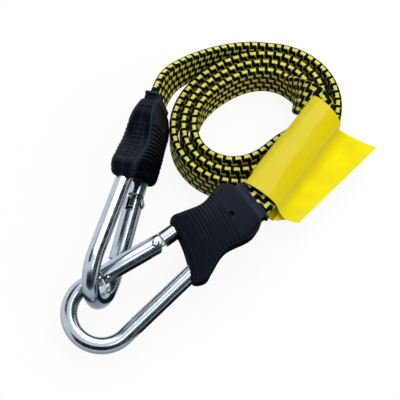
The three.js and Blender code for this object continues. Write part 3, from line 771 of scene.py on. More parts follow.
# %% Gate sleeve, rivet and catch pin
GATE_RADIUS = 4.6
GATE_RIM = [(0, 4.1), (0.15, 4.4), (0.5, GATE_RADIUS)]  # eased, from each end inwards
GATE_SWING, SWING_SPARE = 25, 3
SLOT_HALF, FORK_END, TIP_SLOT = TONGUE_THICK + PLAY, 4.6, 5.5
BORE_RADIUS, BORE_START, BORE_END = 3, 1.8, 17.5
SLOT_REACH, RELIEF = 10, 12  # cutters reach well past the sleeve
RIVET_SEAT = GATE_RADIUS + 0.15
RIVET_HEAD = [(0.62, 0.05), (0.66, 0.4), (0.7, 0.75), (0.62, 1.2), (0.42, 1.6), (0.2, 1.85), (0, 1.9)]
PIN_END = [(3.5, 0.5), (3.42, 0.78), (3.25, CATCH_RADIUS)]
CROSSWISE = Matrix.Rotation(-math.pi / 2, 4, "Y")


def gate_sleeve():
    rear = [(-GATE_TAIL + x, radius) for x, radius in GATE_RIM]
    tip = [(GATE_LENGTH - x, radius) for x, radius in reversed(GATE_RIM)]
    body = turned("sleeve", rear + [(0, GATE_RADIUS), (GATE_LENGTH / 2, GATE_RADIUS)] + tip, sides=64)
    fork = block("fork", (-GATE_TAIL - 1, FORK_END), both(SLOT_REACH), both(SLOT_HALF), **SHARP)
    bore = turned("bore", [(BORE_START, BORE_RADIUS), (BORE_END, BORE_RADIUS)], sides=40)
    slot_x, slot_y = (GATE_LENGTH - TIP_SLOT, GATE_LENGTH + 1), (-SLOT_REACH, CATCH_FLOOR)
    slot = block("slot", slot_x, slot_y, both(SLOT_HALF), **SHARP)
    rivet_way = cross_rod("rivet_way", 0, 0, RIVET_RADIUS + PLAY, DRILL)
    catch_way = cross_rod("catch_way", GATE_LENGTH - CATCH_SET_BACK, CATCH_Y, CATCH_RADIUS + PLAY, DRILL)
    relief = block("relief", (-RELIEF, 0), (0, RELIEF), both(DRILL), **SHARP)
    lean = Matrix.Rotation(-math.radians(GATE_SWING + SWING_SPARE), 4, "Z")
    moved(relief, Matrix.Translation((-GATE_TAIL * MM, 0, 0)) @ lean)
    return smooth(combined(body, "DIFFERENCE", fork, bore, slot, rivet_way, catch_way, relief))


def gate_rivet():
    head = [(RIVET_SEAT + x, radius) for x, radius in RIVET_HEAD] + [(RIVET_SEAT - 0.05, RIVET_RADIUS)]
    return smooth(moved(turned("rivet", both_ways(head), sides=36), CROSSWISE), sharp_angle=50)


def catch_pin():
    across = Matrix.Translation(((GATE_LENGTH - CATCH_SET_BACK) * MM, CATCH_Y * MM, 0)) @ CROSSWISE
    return smooth(moved(turned("pin", both_ways(PIN_END), sides=24), across), sharp_angle=50)


gate_parts = {"gate_sleeve": gate_sleeve(), "gate_rivet": gate_rivet(), "catch_pin": catch_pin()}
for part in gate_parts.values():
    moved(part, GATE_FRAME)
print("gate faces:", {name: len(part.data.polygons) for name, part in gate_parts.items()})

# %% [markdown]
# ## Moulded handle
#
# The handle is nylon, moulded in two shells that meet on the plane of the wire. It has a waist with cross
# ribs for the fingers, a flared foot on the long side, a recessed panel down each narrow side and a fine
# seam where the shells meet. A box under a subdivision surface would soften every edge alike, so the body
# is lofted through many sections, which keeps one radius along its corners. Black nylon shows a fine
# moulded grain, drawn coarser than it is so that it shows, and edges painted paler, partly as rubbed wear
# and partly as a painted highlight along the ribs. Its faint bluish sheen is painted where it faces up:
# the reflection follows the upward normal, and the sides are left without it, a painted shade.

# %% Black nylon


def moulded_nylon(name, colour, worn, roughness):
    material, tree, shader = new_material(name, roughness, ior=1.53)
    coordinates = add(tree, "ShaderNodeTexCoord").outputs
    spot = coordinates["Object"]
    cloud = {"Vector": spot, "Scale": 1 / (9 * MM), "Detail": 4.0, "Roughness": 0.65}
    cloud = add(tree, "ShaderNodeTexNoise", cloud)
    # Sharp edges are painted paler: partly rubbed wear, partly a painted highlight along the ribs
    edge = add(tree, "ShaderNodeNewGeometry").outputs["Pointiness"]
    edge_wear_and_highlight = add(tree, "ShaderNodeMapRange", {"Value": edge, "From Min": 0.51, "From Max": 0.58})
    wear_and_highlight = add(tree, "ShaderNodeMath", {0: edge_wear_and_highlight, 1: cloud}, operation="MULTIPLY")
    tones = {0: wear_and_highlight, 6: linear(colour), 7: linear(worn)}
    tone = add(tree, "ShaderNodeMix", tones, data_type="RGBA").outputs[2]
    gloss = {"Value": cloud, "From Min": 0.3, "From Max": 0.7}
    gloss |= {"To Min": roughness - 0.06, "To Max": roughness + 0.08}
    gloss = add(tree, "ShaderNodeMapRange", gloss)
    grain = add(tree, "ShaderNodeTexNoise", {"Vector": spot, "Scale": 1 / (0.35 * MM), "Detail": 2.0})
    bump = add(tree, "ShaderNodeBump", {"Strength": 0.35, "Distance": 0.03 * MM, "Height": grain})
    # The reflection is painted only on faces that look up; the sides get none, a painted shade
    upward = add(tree, "ShaderNodeSeparateXYZ", {0: coordinates["Normal"]}).outputs["Z"]
    painted_sheen = {"Value": upward, "From Min": 0.15, "From Max": 0.6, "To Max": 0.1}
    painted_sheen = add(tree, "ShaderNodeMapRange", painted_sheen, interpolation_type="SMOOTHSTEP")
    feed(tree, shader, {"Base Color": tone, "Roughness": gloss, "Normal": bump})
    feed(tree, shader, {"Specular IOR Level": painted_sheen, "Specular Tint": linear("#b4ccf4")})
    return material


# The worn colour on the edges is partly a painted highlight
black_nylon = moulded_nylon("moulded_black_nylon", colour="#070a10", worn="#3a4656", roughness=0.32)
grey_nylon = moulded_nylon("moulded_grey_nylon", colour="#0a0d12", worn="#1f242b", roughness=0.5)
for letter in ENDS:
    dress(frame["nodes"][f"strap_clip_{letter}"].data, grey_nylon)
print("materials:", black_nylon.name, grey_nylon.name)

# %% [markdown]
# A section is one ring of points: a flank on the long side, the broad top, a flank on the gate's side and
# the broad underside, with round corners between them. Its half widths and half thickness run smoothly
# through a few stops along the handle. The front is slanted, so a place along the handle reaches further
# on the long side.

# %% Sizes of the handle
GATE_SIDE = [(0, 11.2), (0.06, 13.6), (0.17, 15.3), (0.5, 12.4), (0.8, 14.9), (0.91, 16), (1, 15.1)]
LONG_SIDE = [(0, 10.9), (0.06, 12.6), (0.2, 14.3), (0.5, 12.1)]
LONG_SIDE += [(0.74, 16), (0.84, 17.9), (0.93, 17), (1, 14.6)]
HALF_THICK = [(0, 4.6), (0.1, 5.2), (0.35, 7.1), (0.6, 7.8), (0.8, 7.1), (0.93, 6.4), (1, 5.2)]
GATE_FRONT, LONG_FRONT = 35.6, 45.2
CORNER_ROUND, CROWN = 2.2, 0.5
FACE_POINTS, CORNER_POINTS = 31, 7
FLANK_SINE, FLANK_POWER = 0.35, 1.6  # how the points of a flank crowd at the seam
RIBS, RIB_START, RIB_END, RIB_DEPTH, BAR_HEIGHT, CREST = 9, 0.31, 0.76, 0.34, 0.3, 2.5
CORNER_GROOVE, GROOVE_FADE = 0.3, 0.65  # of a groove's depth, left at a corner and lost at the gate's side
FADE_START, FADE_END = 0.5, 0.8  # of the broad face
PANEL_DEPTH, PANEL_SHARE, PANEL_EDGE, BAR_SHARE = 0.5, 0.7, 0.35, 0.35  # shares of the half thickness
PANEL_START, PANEL_END, SEAM_END = (0.115, 0.14), (0.785, 0.81), (0.955, 0.975)
SEAM_DEPTH, SEAM_EDGE = 0.12, 0.3
FOOT_LINE, FOOT_LINE_DEPTH, FOOT_LINE_WIDTH = 0.925, 0.22, 0.009


def through(stops, place):
    low = 0
    while low + 2 < len(stops) and stops[low + 1][0] < place:
        low += 1

    def slope(i):
        (x0, y0), (x1, y1) = stops[max(0, i - 1)], stops[min(len(stops) - 1, i + 1)]
        return (y1 - y0) / (x1 - x0)

    (x0, y0), (x1, y1) = stops[low], stops[low + 1]
    span = x1 - x0
    f = (place - x0) / span
    rise = (2 * f**3 - 3 * f**2 + 1) * y0 + (3 * f**2 - 2 * f**3) * y1
    return rise + span * ((f**3 - 2 * f**2 + f) * slope(low) + (f**3 - f**2) * slope(low + 1))


print(f"handle: {through(GATE_SIDE, 0.5) + through(LONG_SIDE, 0.5):.1f} mm wide at its waist")

# %% Sections of the handle


def handle_section(place, inset):
    gate = through(GATE_SIDE, place)
    long = through(LONG_SIDE, place)
    foot_line = math.exp(-(((place - FOOT_LINE) / FOOT_LINE_WIDTH) ** 2))
    half = through(HALF_THICK, place) - FOOT_LINE_DEPTH * foot_line
    side = half - CORNER_ROUND

    # Points of a flank crowd at the seam, which is narrow
    even = np.linspace(-1, 1, FACE_POINTS)
    flank = np.sin(even * math.pi / 2) * FLANK_SINE + even * (1 - FLANK_SINE)
    flank = np.sign(flank) * np.abs(flank) ** FLANK_POWER * side
    panel = step(*PANEL_START, place) * (1 - step(*PANEL_END, place)) * PANEL_DEPTH
    dip = panel * (1 - step(PANEL_SHARE * half, PANEL_SHARE * half + PANEL_EDGE, np.abs(flank)))
    seam = SEAM_DEPTH * (1 - step(*SEAM_END, place))
    dip = dip + seam * (1 - step(0.0, SEAM_EDGE, np.abs(flank)))

    quarter = np.linspace(0, math.pi / 2, CORNER_POINTS)[1:-1]
    round_y, round_z = CORNER_ROUND * np.cos(quarter), CORNER_ROUND * np.sin(quarter)
    top = np.linspace(0, 1, FACE_POINTS)
    top_y = long - CORNER_ROUND - (long + gate - 2 * CORNER_ROUND) * top
    top_z = half + CROWN * (1 - (2 * top - 1) ** 2)
    y = [long - dip, long - CORNER_ROUND + round_y, top_y, -gate + CORNER_ROUND - round_y[::-1]]
    z = [flank, side + round_z, top_z, side + round_z[::-1]]
    y += [-gate + dip, -gate + CORNER_ROUND - round_y, top_y[::-1], long - CORNER_ROUND + round_y[::-1]]
    z += [-flank, -side - round_z, -top_z, -side - round_z[::-1]]
    y, z = np.concatenate(y), np.concatenate(z)
    middle = (long - gate) / 2
    y = middle + (y - middle) * (1 - inset / ((long + gate) / 2))
    z = z * (1 - inset / half)
    x = place * (GATE_FRONT + (LONG_FRONT - GATE_FRONT) * ((y + gate) / (gate + long)) ** 2)

    # Bars rise from the panels, and grooves fade towards the gate's side
    bars = np.where(np.abs(flank) < BAR_SHARE * half, BAR_HEIGHT, 0.0)
    corner = np.linspace(CORNER_GROOVE, 1, len(quarter)) * RIB_DEPTH
    flat = RIB_DEPTH * (1 - GROOVE_FADE * step(FADE_START, FADE_END, top))
    none = np.zeros(len(flank))
    way_y = [bars, 0 * corner, 0 * flat, 0 * corner, -bars, 0 * corner, 0 * flat, 0 * corner]
    way_z = [none, -corner, -flat, -corner[::-1], none, corner, flat[::-1], corner[::-1]]
    way_y, way_z = np.concatenate(way_y), np.concatenate(way_z)
    return np.stack([x, y, z], axis=1), np.stack([0 * way_y, way_y, way_z], axis=1)


print("points of a handle section:", len(handle_section(RIB_START, 0)[0]))

# %% [markdown]
# The ribs are narrow crests between wider grooves. Each point of the loft carries its place along the
# handle and the way it moves at the bottom of a groove: straight down into a broad face, or outwards as a
# bar in a recessed panel. Ribs repeat by a rule, so a geometry tree finds from the place how far each
# point is from the next crest, and moves it by that share of its way.

# %% Loft the handle and cut its ribs
BODY_START, BODY_END = 0.03, 0.965
REAR_RINGS, RINGS_PER_RIB, FRONT_RINGS = 32, 10, 36
REAR_EASE = [(0, 0.7), (0.004, 0.3), (0.012, 0)]  # place and inset
FRONT_EASE = [(0.975, 0.12), (0.984, 0.4), (0.991, 0.8), (0.997, 1.3), (1, 1.9)]


def moulded_ribs():
    tree, given = new_tree("moulded_ribs", ["Ribs", "Start", "End"])
    place = add(tree, "GeometryNodeInputNamedAttribute", {"Name": "place"}, data_type="FLOAT")
    zone = {"Value": place, "From Min": given["Start"], "From Max": given["End"], "To Max": given["Ribs"]}
    count = add(tree, "ShaderNodeMapRange", zone, clamp=True)
    angle = add(tree, "ShaderNodeMath", {0: count, 1: 2 * math.pi}, operation="MULTIPLY")
    wave = add(tree, "ShaderNodeMath", {0: angle}, operation="COSINE")
    crest = add(tree, "ShaderNodeMapRange", {"Value": wave, "From Min": -1.0})
    narrow = add(tree, "ShaderNodeMath", {0: crest, 1: CREST}, operation="POWER")
    groove = add(tree, "ShaderNodeMath", {0: 1.0, 1: narrow}, operation="SUBTRACT")
    way = add(tree, "GeometryNodeInputNamedAttribute", {"Name": "rib_way"}, data_type="FLOAT_VECTOR")
    offset = add(tree, "ShaderNodeVectorMath", {0: way, "Scale": groove}, operation="SCALE")
    ribbed = add(tree, "GeometryNodeSetPosition", {"Geometry": given["Geometry"], "Offset": offset})
    return close_tree(tree, given, ribbed)


def handle_body():
    places = [*np.linspace(BODY_START, RIB_START, REAR_RINGS, endpoint=False)]
    places += [*np.linspace(RIB_START, RIB_END, RIBS * RINGS_PER_RIB, endpoint=False)]
    places += [*np.linspace(RIB_END, BODY_END, FRONT_RINGS)]
    stops = REAR_EASE + [(place, 0) for place in places] + FRONT_EASE
    sections = [handle_section(place, inset) for place, inset in stops]
    rings = [points for points, _ in sections]
    count = len(rings[0])
    faces = wrapped(len(rings), count, closed_ends=False) + [tuple(range(count))[::-1]]

    # The front is closed by each flank's own face and by strips across from top to underside
    last, seam, rim = (len(rings) - 1) * count, FACE_POINTS // 2, FACE_POINTS // 2 + 1
    front = [range(middle - rim, middle + rim + 1) for middle in (seam, seam + count // 2)]
    for j in range(rim, count // 2 - rim):
        front.append((seam + j, seam + j + 1, seam - j - 1, seam - j))
    faces += [tuple(last + k % count for k in corners) for corners in front]

    piece = new_piece("handle", np.vstack(rings), faces)
    at = piece.data.attributes.new("place", "FLOAT", "POINT")
    at.data.foreach_set("value", np.repeat([place for place, _ in stops], count))
    ways = piece.data.attributes.new("rib_way", "FLOAT_VECTOR", "POINT")
    ways.data.foreach_set("vector", np.vstack([way for _, way in sections]).ravel() * MM)
    sizes = {"Ribs": float(RIBS), "Start": RIB_START, "End": RIB_END}
    return shaped(piece, moulded_ribs(), black_nylon, **sizes)


handle = handle_body()
print("handle faces:", len(handle.data.polygons))

# %% [markdown]
# The body is parted on its middle plane, at the bottom of the seam, into an upper and a lower shell. Then
# the wire's channel, the strap's pocket and the small hole for the clip's stud are cut out of each.

# %% Cut the handle and part it
POCKET_Y, POCKET_Z, POCKET_END = 10.7, 3.8, 18
CHANNEL_RADIUS = WIRE_RADIUS + 0.1
STUD_X, STUD_HOLE = 10.4, 1.5
SEAM_HALF = 0.03
PAST_X, PAST_Y, PAST_Z = (-10, 60), 40, 20  # well past the handle
SHARPEST = {"corner": 0.01, "ease": 0.01}


def handle_shells(body):
    shells = []
    for name, z in (("handle_upper", (SEAM_HALF, PAST_Z)), ("handle_lower", (-PAST_Z, -SEAM_HALF))):
        shell = placed(name, body.data.copy())
        half = block("half", PAST_X, both(PAST_Y), z, **SHARPEST)
        shell = combined(shell, "INTERSECT", half)
        channel = rod("channel", wire_path(), CHANNEL_RADIUS)
        pocket = block("pocket", (-2, POCKET_END), both(POCKET_Y), both(POCKET_Z), corner=1)
        stud_hole = cross_rod("stud_hole", STUD_X, 0, STUD_HOLE, PAST_Z)
        shell = combined(shell, "DIFFERENCE", channel, pocket, stud_hole)
        shells.append(smooth(shell, sharp_angle=40))
    bpy.data.objects.remove(body)
    return shells


upper, lower = handle_shells(handle)
print("shell faces:", len(upper.data.polygons), len(lower.data.polygons))

# %% [markdown]
# ## Collar
#
# A separate collar closes the mouth of the handle round the strap, with a lip at its rear that stands out
# as a small tab on the long side. An extruded outline stays the same all the way, so the collar is lofted
# through oblong rings that differ at the lip, and is then slotted for the strap.

# %% Mouth collar
COLLAR_REAR, COLLAR_FRONT, LIP, TAB = -4, 2.4, 1.4, 1
COLLAR_Y, COLLAR_Z = POCKET_Y - PLAY, POCKET_Z - PLAY


def mouth_collar():
    rear, shoulder = COLLAR_REAR, COLLAR_REAR + LIP
    # Place, growth and tab of each ring, eased at the rear, at the lip and at the front
    stops = [(rear, -0.4, TAB), (rear + 0.12, -0.12, TAB), (rear + 0.4, 0, TAB)]
    stops += [(shoulder - 0.3, 0, TAB), (shoulder - 0.08, -0.1, TAB), (shoulder, -0.3, TAB)]
    stops += [(shoulder + 0.02, 0, 0), (COLLAR_FRONT - 0.3, 0, 0), (COLLAR_FRONT, -0.3, 0)]
    rings = []
    for x, grow, tab in stops:
        z = COLLAR_Z + grow
        rings.append((x, oblong(-COLLAR_Y - grow, COLLAR_Y + tab + grow, -z, z, corner=1.0)))
    slot_y, slot_z = both(STRAP_WIDTH / 2 + PLAY), both(STRAP_THICKNESS / 2 + PLAY)
    slot = block("slot", (rear - 5, COLLAR_FRONT + 5), slot_y, slot_z, corner=0.8)
    return smooth(combined(lofted("collar", rings), "DIFFERENCE", slot), sharp_angle=40)


collar = mouth_collar()
print("collar faces:", len(collar.data.polygons))

# %% [markdown]
# ## Set both ends in place
#
# The parts above were made once, in the frame of one end. Each is now copied into both ends and rides on
# the body of the CAD node that it stands for. Its place goes into its mesh and the object stays at the
# origin, so no pattern slides on it.

# %% Copy the parts to both ends


def fitted(part, name, letter, body, material):
    mesh = part.data.copy()
    mesh.transform(ENDS[letter])
    dress(mesh, material)
    mesh.polygons.foreach_set("material_index", [0] * len(mesh.polygons))
    piece = placed(f"{name}_{letter}.look", mesh)
    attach(piece, body)
    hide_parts(f"{name}_{letter}")


for letter in ENDS:
    fitted(wire, "hook_wire", letter, "cord", zinc)
    for name, part in gate_parts.items():
        fitted(part, name, letter, f"gate_{letter}", dark_underside_zinc)
    for name, part in (("handle_upper", upper), ("handle_lower", lower), ("mouth_collar", collar)):
        fitted(part, name, letter, "cord", black_nylon)
for part in (wire, upper, lower, collar, *gate_parts.values()):
    bpy.data.objects.remove(part)

# %% [markdown]
# The springs inside the gates stay as the imported model has them, each given a mesh of its own. When a
# gate opens, its plunger is pushed in by a little over a millimetre.

# %% Give each spring its own mesh
for letter, matrix in ENDS.items():
    curls = frame["nodes"][f"gate_spring_{letter}"]
    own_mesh(curls)

# %% [markdown]
# ## Vinyl tag
#
# The tag is a strip of plain yellow vinyl. It arches over the strap, folds under it and comes out again
# on the same side, where the two layers are stuck together as a flag. The strap leans and twists beneath
# it, so the wrap is skewed: the flag slants forward, the arch rises where the strap does, and the under
# layer sags. A cloth simulation would find folds of its own, so one folded section is lofted along the
# strap instead. The film is thin and a little see-through, and where the dark strap lies behind it the
# colour is painted deeper, a painted shade.

# %% Yellow vinyl
# The third yellow is painted shade, where the strap lies behind the film
VINYL_YELLOW, VINYL_DEEP, VINYL_STRAP_SHADE = "#f0e30a", "#e4d20a", "#d3c10a"


def calendered_vinyl():
    material, tree, shader = new_material("calendered_yellow_vinyl", roughness=0.16, ior=1.53)
    spot = add(tree, "ShaderNodeTexCoord").outputs["Object"]
    tint = add(tree, "ShaderNodeTexNoise", {"Vector": spot, "Scale": 1 / (14 * MM), "Detail": 2.0})
    worn = {"Value": tint, "From Min": 0.35, "From Max": 0.65}
    gloss = add(tree, "ShaderNodeMapRange", worn | {"To Min": 0.1, "To Max": 0.22})
    worn = add(tree, "ShaderNodeMapRange", worn)
    tones = {0: worn, 6: linear(VINYL_YELLOW), 7: linear(VINYL_DEEP)}
    underside_share = add(tree, "ShaderNodeMix", tones, data_type="RGBA").outputs[2]
    # Where the dark strap lies behind the film, its colour is painted deeper: painted shade
    strap_shade = add(tree, "ShaderNodeAttribute", attribute_name="strap_shade").outputs["Fac"]
    over_strap = {0: strap_shade, 6: underside_share, 7: linear(VINYL_STRAP_SHADE)}
    tone = add(tree, "ShaderNodeMix", over_strap, data_type="RGBA").outputs[2]
    ripple = add(tree, "ShaderNodeTexNoise", {"Vector": spot, "Scale": 1 / (4 * MM), "Detail": 3.0})
    bump = add(tree, "ShaderNodeBump", {"Strength": 0.5, "Distance": 0.3 * MM, "Height": ripple})
    looks = {"Base Color": tone, "Roughness": gloss, "Normal": bump, "Specular IOR Level": 0.16}
    feed(tree, shader, looks)
    return material


vinyl = calendered_vinyl()
print("material:", vinyl.name)

# %% Section of the tag
TAG_LENGTH, FAR_FLAP, TAG_SKIN, TAG_GAP = 60.4, 23, 0.4, 0.35
NEAR_FLAP = TAG_LENGTH - FAR_FLAP - LOOP_LENGTH
TAG_HALF = STRAP_WIDTH / 2 + 2 * PLAY + TAG_GAP
TAG_FLOOR = -STRAP_THICKNESS / 2 - PLAY - TAG_GAP
ARCH_FOOT, ARCH_RISE, ARCH_START, WALL_ROUND = 0.2, 4.45, 0.05, 1.2
FLAP_EDGE, UNDER_EDGE = 2.4, -2  # how far the loose flaps reach round the strap
FLAG_REACH, FLAG_DROP, FLAG_TAPER, FLAG_SET_BACK = 14.5, 10, 0.3, 2.4
FLAG_ROOT, FLAG_APART = 0.7, 0.38  # below the arch's foot, and from the middle to each layer
SHOULDER_OUT, SHOULDER_DOWN = 0.4, 0.66  # of the flag's reach and drop
SKEW_FAR, SKEW_NEAR, PANEL_SKEW = 7.2, 4, 4
NEAR_LIFT, FAR_LIFT, FAR_RISE, SAG, BULGE = 3.5, 2.6, 0.7, 3.6, 4
SAG_END, HOLLOW_HALF = 10, 6  # along the strap, and across it
HOLLOW_OUT, STRAP_SHADE_OUT = 0.7, 0.4  # of the flag's reach
FLAG_TOP, ARCH, WALL, FLOOR, FLAG_UNDER = range(5)


def flag_layer(offset, points=26):
    root = np.array([TAG_HALF, ARCH_FOOT - FLAG_ROOT])
    shoulder = np.array([TAG_HALF + FLAG_REACH * SHOULDER_OUT, ARCH_FOOT - FLAG_DROP * SHOULDER_DOWN])
    hem = np.array([TAG_HALF + FLAG_REACH, ARCH_FOOT - FLAG_DROP])
    t = np.linspace(0, 1, points)[:, None]
    curve = root * (1 - t) ** 2 + shoulder * 2 * t * (1 - t) + hem * t**2
    heading = (shoulder - root) * 2 * (1 - t) + (hem - shoulder) * 2 * t
    heading /= np.linalg.norm(heading, axis=1, keepdims=True)
    return curve + offset * np.stack([-heading[:, 1], heading[:, 0]], axis=1)


def tag_section():
    turn = np.linspace(ARCH_START, math.pi, 44)
    arch = np.stack([TAG_HALF * np.cos(turn), ARCH_FOOT + ARCH_RISE * np.sin(turn)], axis=1)
    bend = np.linspace(math.pi, 1.5 * math.pi, 9)[1:]
    wall_z = ARCH_FOOT + (ARCH_FOOT - TAG_FLOOR) * np.sin(bend)
    wall = np.stack([-TAG_HALF + WALL_ROUND + WALL_ROUND * np.cos(bend), wall_z], axis=1)
    floor_x = np.linspace(-TAG_HALF + WALL_ROUND, TAG_HALF, 26)[1:]
    floor = np.stack([floor_x, np.full(len(floor_x), TAG_FLOOR)], axis=1)
    runs = [flag_layer(FLAG_APART)[::-1], arch, wall, floor, flag_layer(-FLAG_APART)[2:]]
    return np.vstack(runs), np.repeat(np.arange(5), [len(run) for run in runs])


print("points of the tag's section:", len(tag_section()[0]))

# %% [markdown]
# The section is set at stations along the strap, each with its share of skew, lift and sag. Where only
# the top reaches over, the faces of the wrap are left out. A geometry tree then crinkles the sheet.

# %% Fold the tag
TAG_STATIONS = 84
CRINKLE_LONG, CRINKLE_HIGH, CRINKLE_SEED = 13, 1.1, 3.0


def tag_ring(section, part, m):
    x, z = section.T
    near = (FAR_FLAP + LOOP_LENGTH - m) / TAG_LENGTH
    out = np.maximum(0, (x - TAG_HALF) / FLAG_REACH)
    tilt = np.maximum(0, 1 - x / TAG_HALF) / 2
    lift = tilt * (FAR_LIFT + (NEAR_LIFT - FAR_LIFT) * near)
    lift = lift + np.maximum(0, z - ARCH_FOOT) * FAR_RISE * (1 - near)
    climb = np.clip((z - TAG_FLOOR) / (ARCH_FOOT - TAG_FLOOR), 0, 1)
    lift = np.where(part == ARCH, lift, np.where(part == WALL, lift * climb, 0))

    # At the near end the under layer hangs hollow, most of all where it turns into the flag
    under = np.where(part == FLAG_UNDER, 1 - step(0, HOLLOW_OUT, out), 0)
    hollow = np.where(part == FLOOR, step(-HOLLOW_HALF, HOLLOW_HALF, x), under)
    at_end = 1 - step(-NEAR_FLAP, SAG_END, m)
    sag = SAG * hollow * at_end
    bulge = BULGE * at_end * np.where(part == FLAG_TOP, 2 * out * (1 - out), hollow)

    # The panel is drawn back on the flag's side and the flag slants forward, most at the far end
    drawn = PANEL_SKEW * (1 - near) * np.clip(1 - tilt, 0, 1)
    forward = m - drawn - bulge + out * (SKEW_FAR + (SKEW_NEAR - SKEW_FAR) * near)
    sideways = x + out * FLAG_REACH * FLAG_TAPER * (1 - 2 * near)
    base = np.array(TAG_LINE + shift + tag_along * TAG_FROM + UP * TAG_HEIGHT)
    spread = forward[:, None] * np.array(tag_along) + sideways[:, None] * np.array(tag_across)
    return base + spread + (z + lift - sag)[:, None] * np.array(UP)


def has_face(section, part, side, m):
    x, z = section[side]
    in_loop = 0 <= m <= LOOP_LENGTH
    if part[side] in (FLAG_TOP, FLAG_UNDER):
        return m <= FAR_FLAP + LOOP_LENGTH - FLAG_SET_BACK
    if part[side] == ARCH:
        return in_loop or x > 0 or z > FLAP_EDGE
    return in_loop or (part[side] == FLOOR and m < 0 and x > UNDER_EDGE)


def vinyl_crinkle():
    tree, given = new_tree("vinyl_crinkle", ["Wavelength", "Height"])
    where = add(tree, "GeometryNodeInputPosition")
    scale = add(tree, "ShaderNodeMath", {0: 1.0, 1: given["Wavelength"]}, operation="DIVIDE")
    noise = {"Vector": where, "W": CRINKLE_SEED, "Scale": scale, "Detail": 1.0}
    noise = add(tree, "ShaderNodeTexNoise", noise, noise_dimensions="4D")
    middle = add(tree, "ShaderNodeMath", {0: noise, 1: 0.5}, operation="SUBTRACT")
    lift = add(tree, "ShaderNodeMath", {0: middle, 1: given["Height"]}, operation="MULTIPLY")
    offset = add(tree, "ShaderNodeCombineXYZ", {"Z": lift})
    waved = add(tree, "GeometryNodeSetPosition", {"Geometry": given["Geometry"], "Offset": offset})
    return close_tree(tree, given, waved)


def vinyl_tag():
    section, part = tag_section()
    stations = np.linspace(-NEAR_FLAP, FAR_FLAP + LOOP_LENGTH, TAG_STATIONS)
    points = np.vstack([tag_ring(section, part, m) for m in stations])
    count = len(section)
    faces = []
    for row, m in enumerate((stations[:-1] + stations[1:]) / 2):
        for side in range(count - 1):
            if has_face(section, part, side, m):
                here = row * count + side
                faces.append((here, here + count, here + count + 1, here + 1))
    sheet = new_piece("vinyl_tag", points, faces)

    # The strap is behind the panel and the first stretch of the flag, so there the yellow is painted deeper,
    # a painted shade
    strap_shade_share = 1 - step(0, STRAP_SHADE_OUT, (section[:, 0] - TAG_HALF) / FLAG_REACH)
    strap_shade = sheet.data.attributes.new("strap_shade", "FLOAT", "POINT")
    strap_shade.data.foreach_set("value", np.tile(strap_shade_share, len(stations)))
    area = sum(face.area for face in sheet.data.polygons)
    thick = sheet.modifiers.new("thickness", "SOLIDIFY")
    thick.thickness = TAG_SKIN * MM
    thick.offset = 0
    sizes = {"Wavelength": CRINKLE_LONG * MM, "Height": CRINKLE_HIGH * MM}
    return smooth(shaped(baked(sheet), vinyl_crinkle(), vinyl, **sizes), sharp_angle=50), area


tag, TAG_AREA = vinyl_tag()
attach(tag, "cord")
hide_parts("tag")
print(f"tag: {len(tag.data.polygons)} faces, {TAG_AREA * 1e6:.0f} square millimetres of sheet")

# %% [markdown]
#
# The strap is a free cord that starts in one handle and ends in the other, and the tag is a sheet folded
# round it.

print("the strap runs from handle to handle, and the tag is folded round it")

# %% [markdown]
# ## Floor and light
#
# The photograph has a white background with faint, soft shadows. The floor is pale and keeps the shadow,
# and for the rays that see it directly or in a mirror most of it is plain white. A large soft lamp from
# behind gives the main light, and another from the right fills in.

# %% Floor
FLOOR_HALF, FLOOR_DROP = 1500, 0.1
WHITE_SHARE = 0.91
ONE_FACE = [(0, 1, 2, 3)]


def seen_rays(tree):
    rays = add(tree, "ShaderNodeLightPath").outputs
    seen = rays["Is Camera Ray"]
    for kind in ("Is Glossy Ray", "Is Transmission Ray"):
        seen = add(tree, "ShaderNodeMath", {0: seen, 1: rays[kind]}, operation="MAXIMUM")
    return seen


def floor_paper():
    material, tree, shader = new_material("white_floor_paper", roughness=0.9)
    feed(tree, shader, {"Base Color": linear("#f4f4f4"), "Specular IOR Level": 0.1})
    share = add(tree, "ShaderNodeMath", {0: seen_rays(tree), 1: WHITE_SHARE}, operation="MULTIPLY")
    white = add(tree, "ShaderNodeEmission", {"Strength": 1.0})
    mixed = add(tree, "ShaderNodeMixShader", {0: share, 1: shader, 2: white})
    feed(tree, tree.nodes["Material Output"], {"Surface": mixed})
    return material


def flat_sheet(name, x, y, z):
    return new_piece(name, [(x[0], y[0], z), (x[1], y[0], z), (x[1], y[1], z), (x[0], y[1], z)], ONE_FACE)


floor = flat_sheet("floor", both(FLOOR_HALF), both(FLOOR_HALF), -FLOOR_DROP)
dress(floor.data, floor_paper())
print("floor:", 2 * FLOOR_HALF * MM, "metres wide")

# %% Lamps and world
SHADE_LEVEL = 0.4


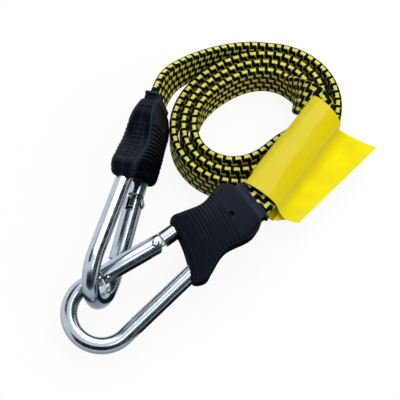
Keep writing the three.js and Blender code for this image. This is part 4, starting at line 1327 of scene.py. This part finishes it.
def lamp(name, place, size, power):
    data = bpy.data.lights.new(name, "AREA")
    data.size = size
    data.energy = power
    made = placed(name, data)
    made.location = aim + Vector(place)
    made.rotation_euler = (aim - made.location).to_track_quat("-Z", "Y").to_euler()


# Places are in metres from the point that the camera aims at, and sizes in metres
lamp("key_softbox", place=(0.2, 0.65, 1.1), size=1.2, power=12.0)
lamp("fill_softbox", place=(0.9, -0.55, 1.15), size=1.3, power=10.0)
world = bpy.data.worlds.new("studio")
world.use_nodes = True
bpy.context.scene.world = world
air = world.node_tree
level = add(air, "ShaderNodeMapRange", {"Value": seen_rays(air), "To Min": SHADE_LEVEL})
feed(air, air.nodes["Background"], {"Strength": level, "Color": linear("#ffffff")})
print("lamps:", len(bpy.data.lights))

# %% [markdown]
# Bright metal only shows what stands round it. A studio puts dark cards beside it, which draw the dark
# streaks along the wire. Three stand round the object and one lies on the floor beside hook b. The camera
# doesn't see them and they take no light away: only mirror rays meet them.

# %% Dark cards
CARD_BLACK = "#10141a"
FLOOR_CARD_X, FLOOR_CARD_Y, FLOOR_CARD_DROP = (0, 74), (-6, 400), 0.05


def dark_card(name, facing, x, y):
    card = moved(flat_sheet(name, x, y, 0), facing)
    material, tree, shader = new_material("black_card", roughness=0.9)
    feed(tree, shader, {"Base Color": linear(CARD_BLACK)})
    dress(card.data, material)
    card.visible_camera = False
    card.visible_diffuse = False
    card.visible_shadow = False


def standing_card(name, place, wide, high):
    turn = (-Vector(place)).to_track_quat("-Z", "Y").to_matrix().to_4x4()
    dark_card(name, Matrix.Translation(aim + Vector(place)) @ turn, both(wide / 2 / MM), both(high / 2 / MM))


# Metres again for the standing cards, millimetres for the one on the floor
standing_card("front_card", place=(0.0, -0.9, 0.42), wide=2.4, high=1.0)
standing_card("right_card", place=(0.95, -0.3, 0.62), wide=1.6, high=1.25)
standing_card("left_card", place=(-0.75, 0.3, 1.1), wide=0.9, high=0.8)
# The floor card darkens the floor where the wire's lower sides mirror it: a painted dark reflection
beside_b = Matrix.Translation((*ENDS["b"].translation.xy, -FLOOR_CARD_DROP * MM))
beside_b = beside_b @ Matrix.Rotation(math.radians(TURNS["b"][0]), 4, "Z")
dark_card("floor_card", beside_b, FLOOR_CARD_X, FLOOR_CARD_Y)
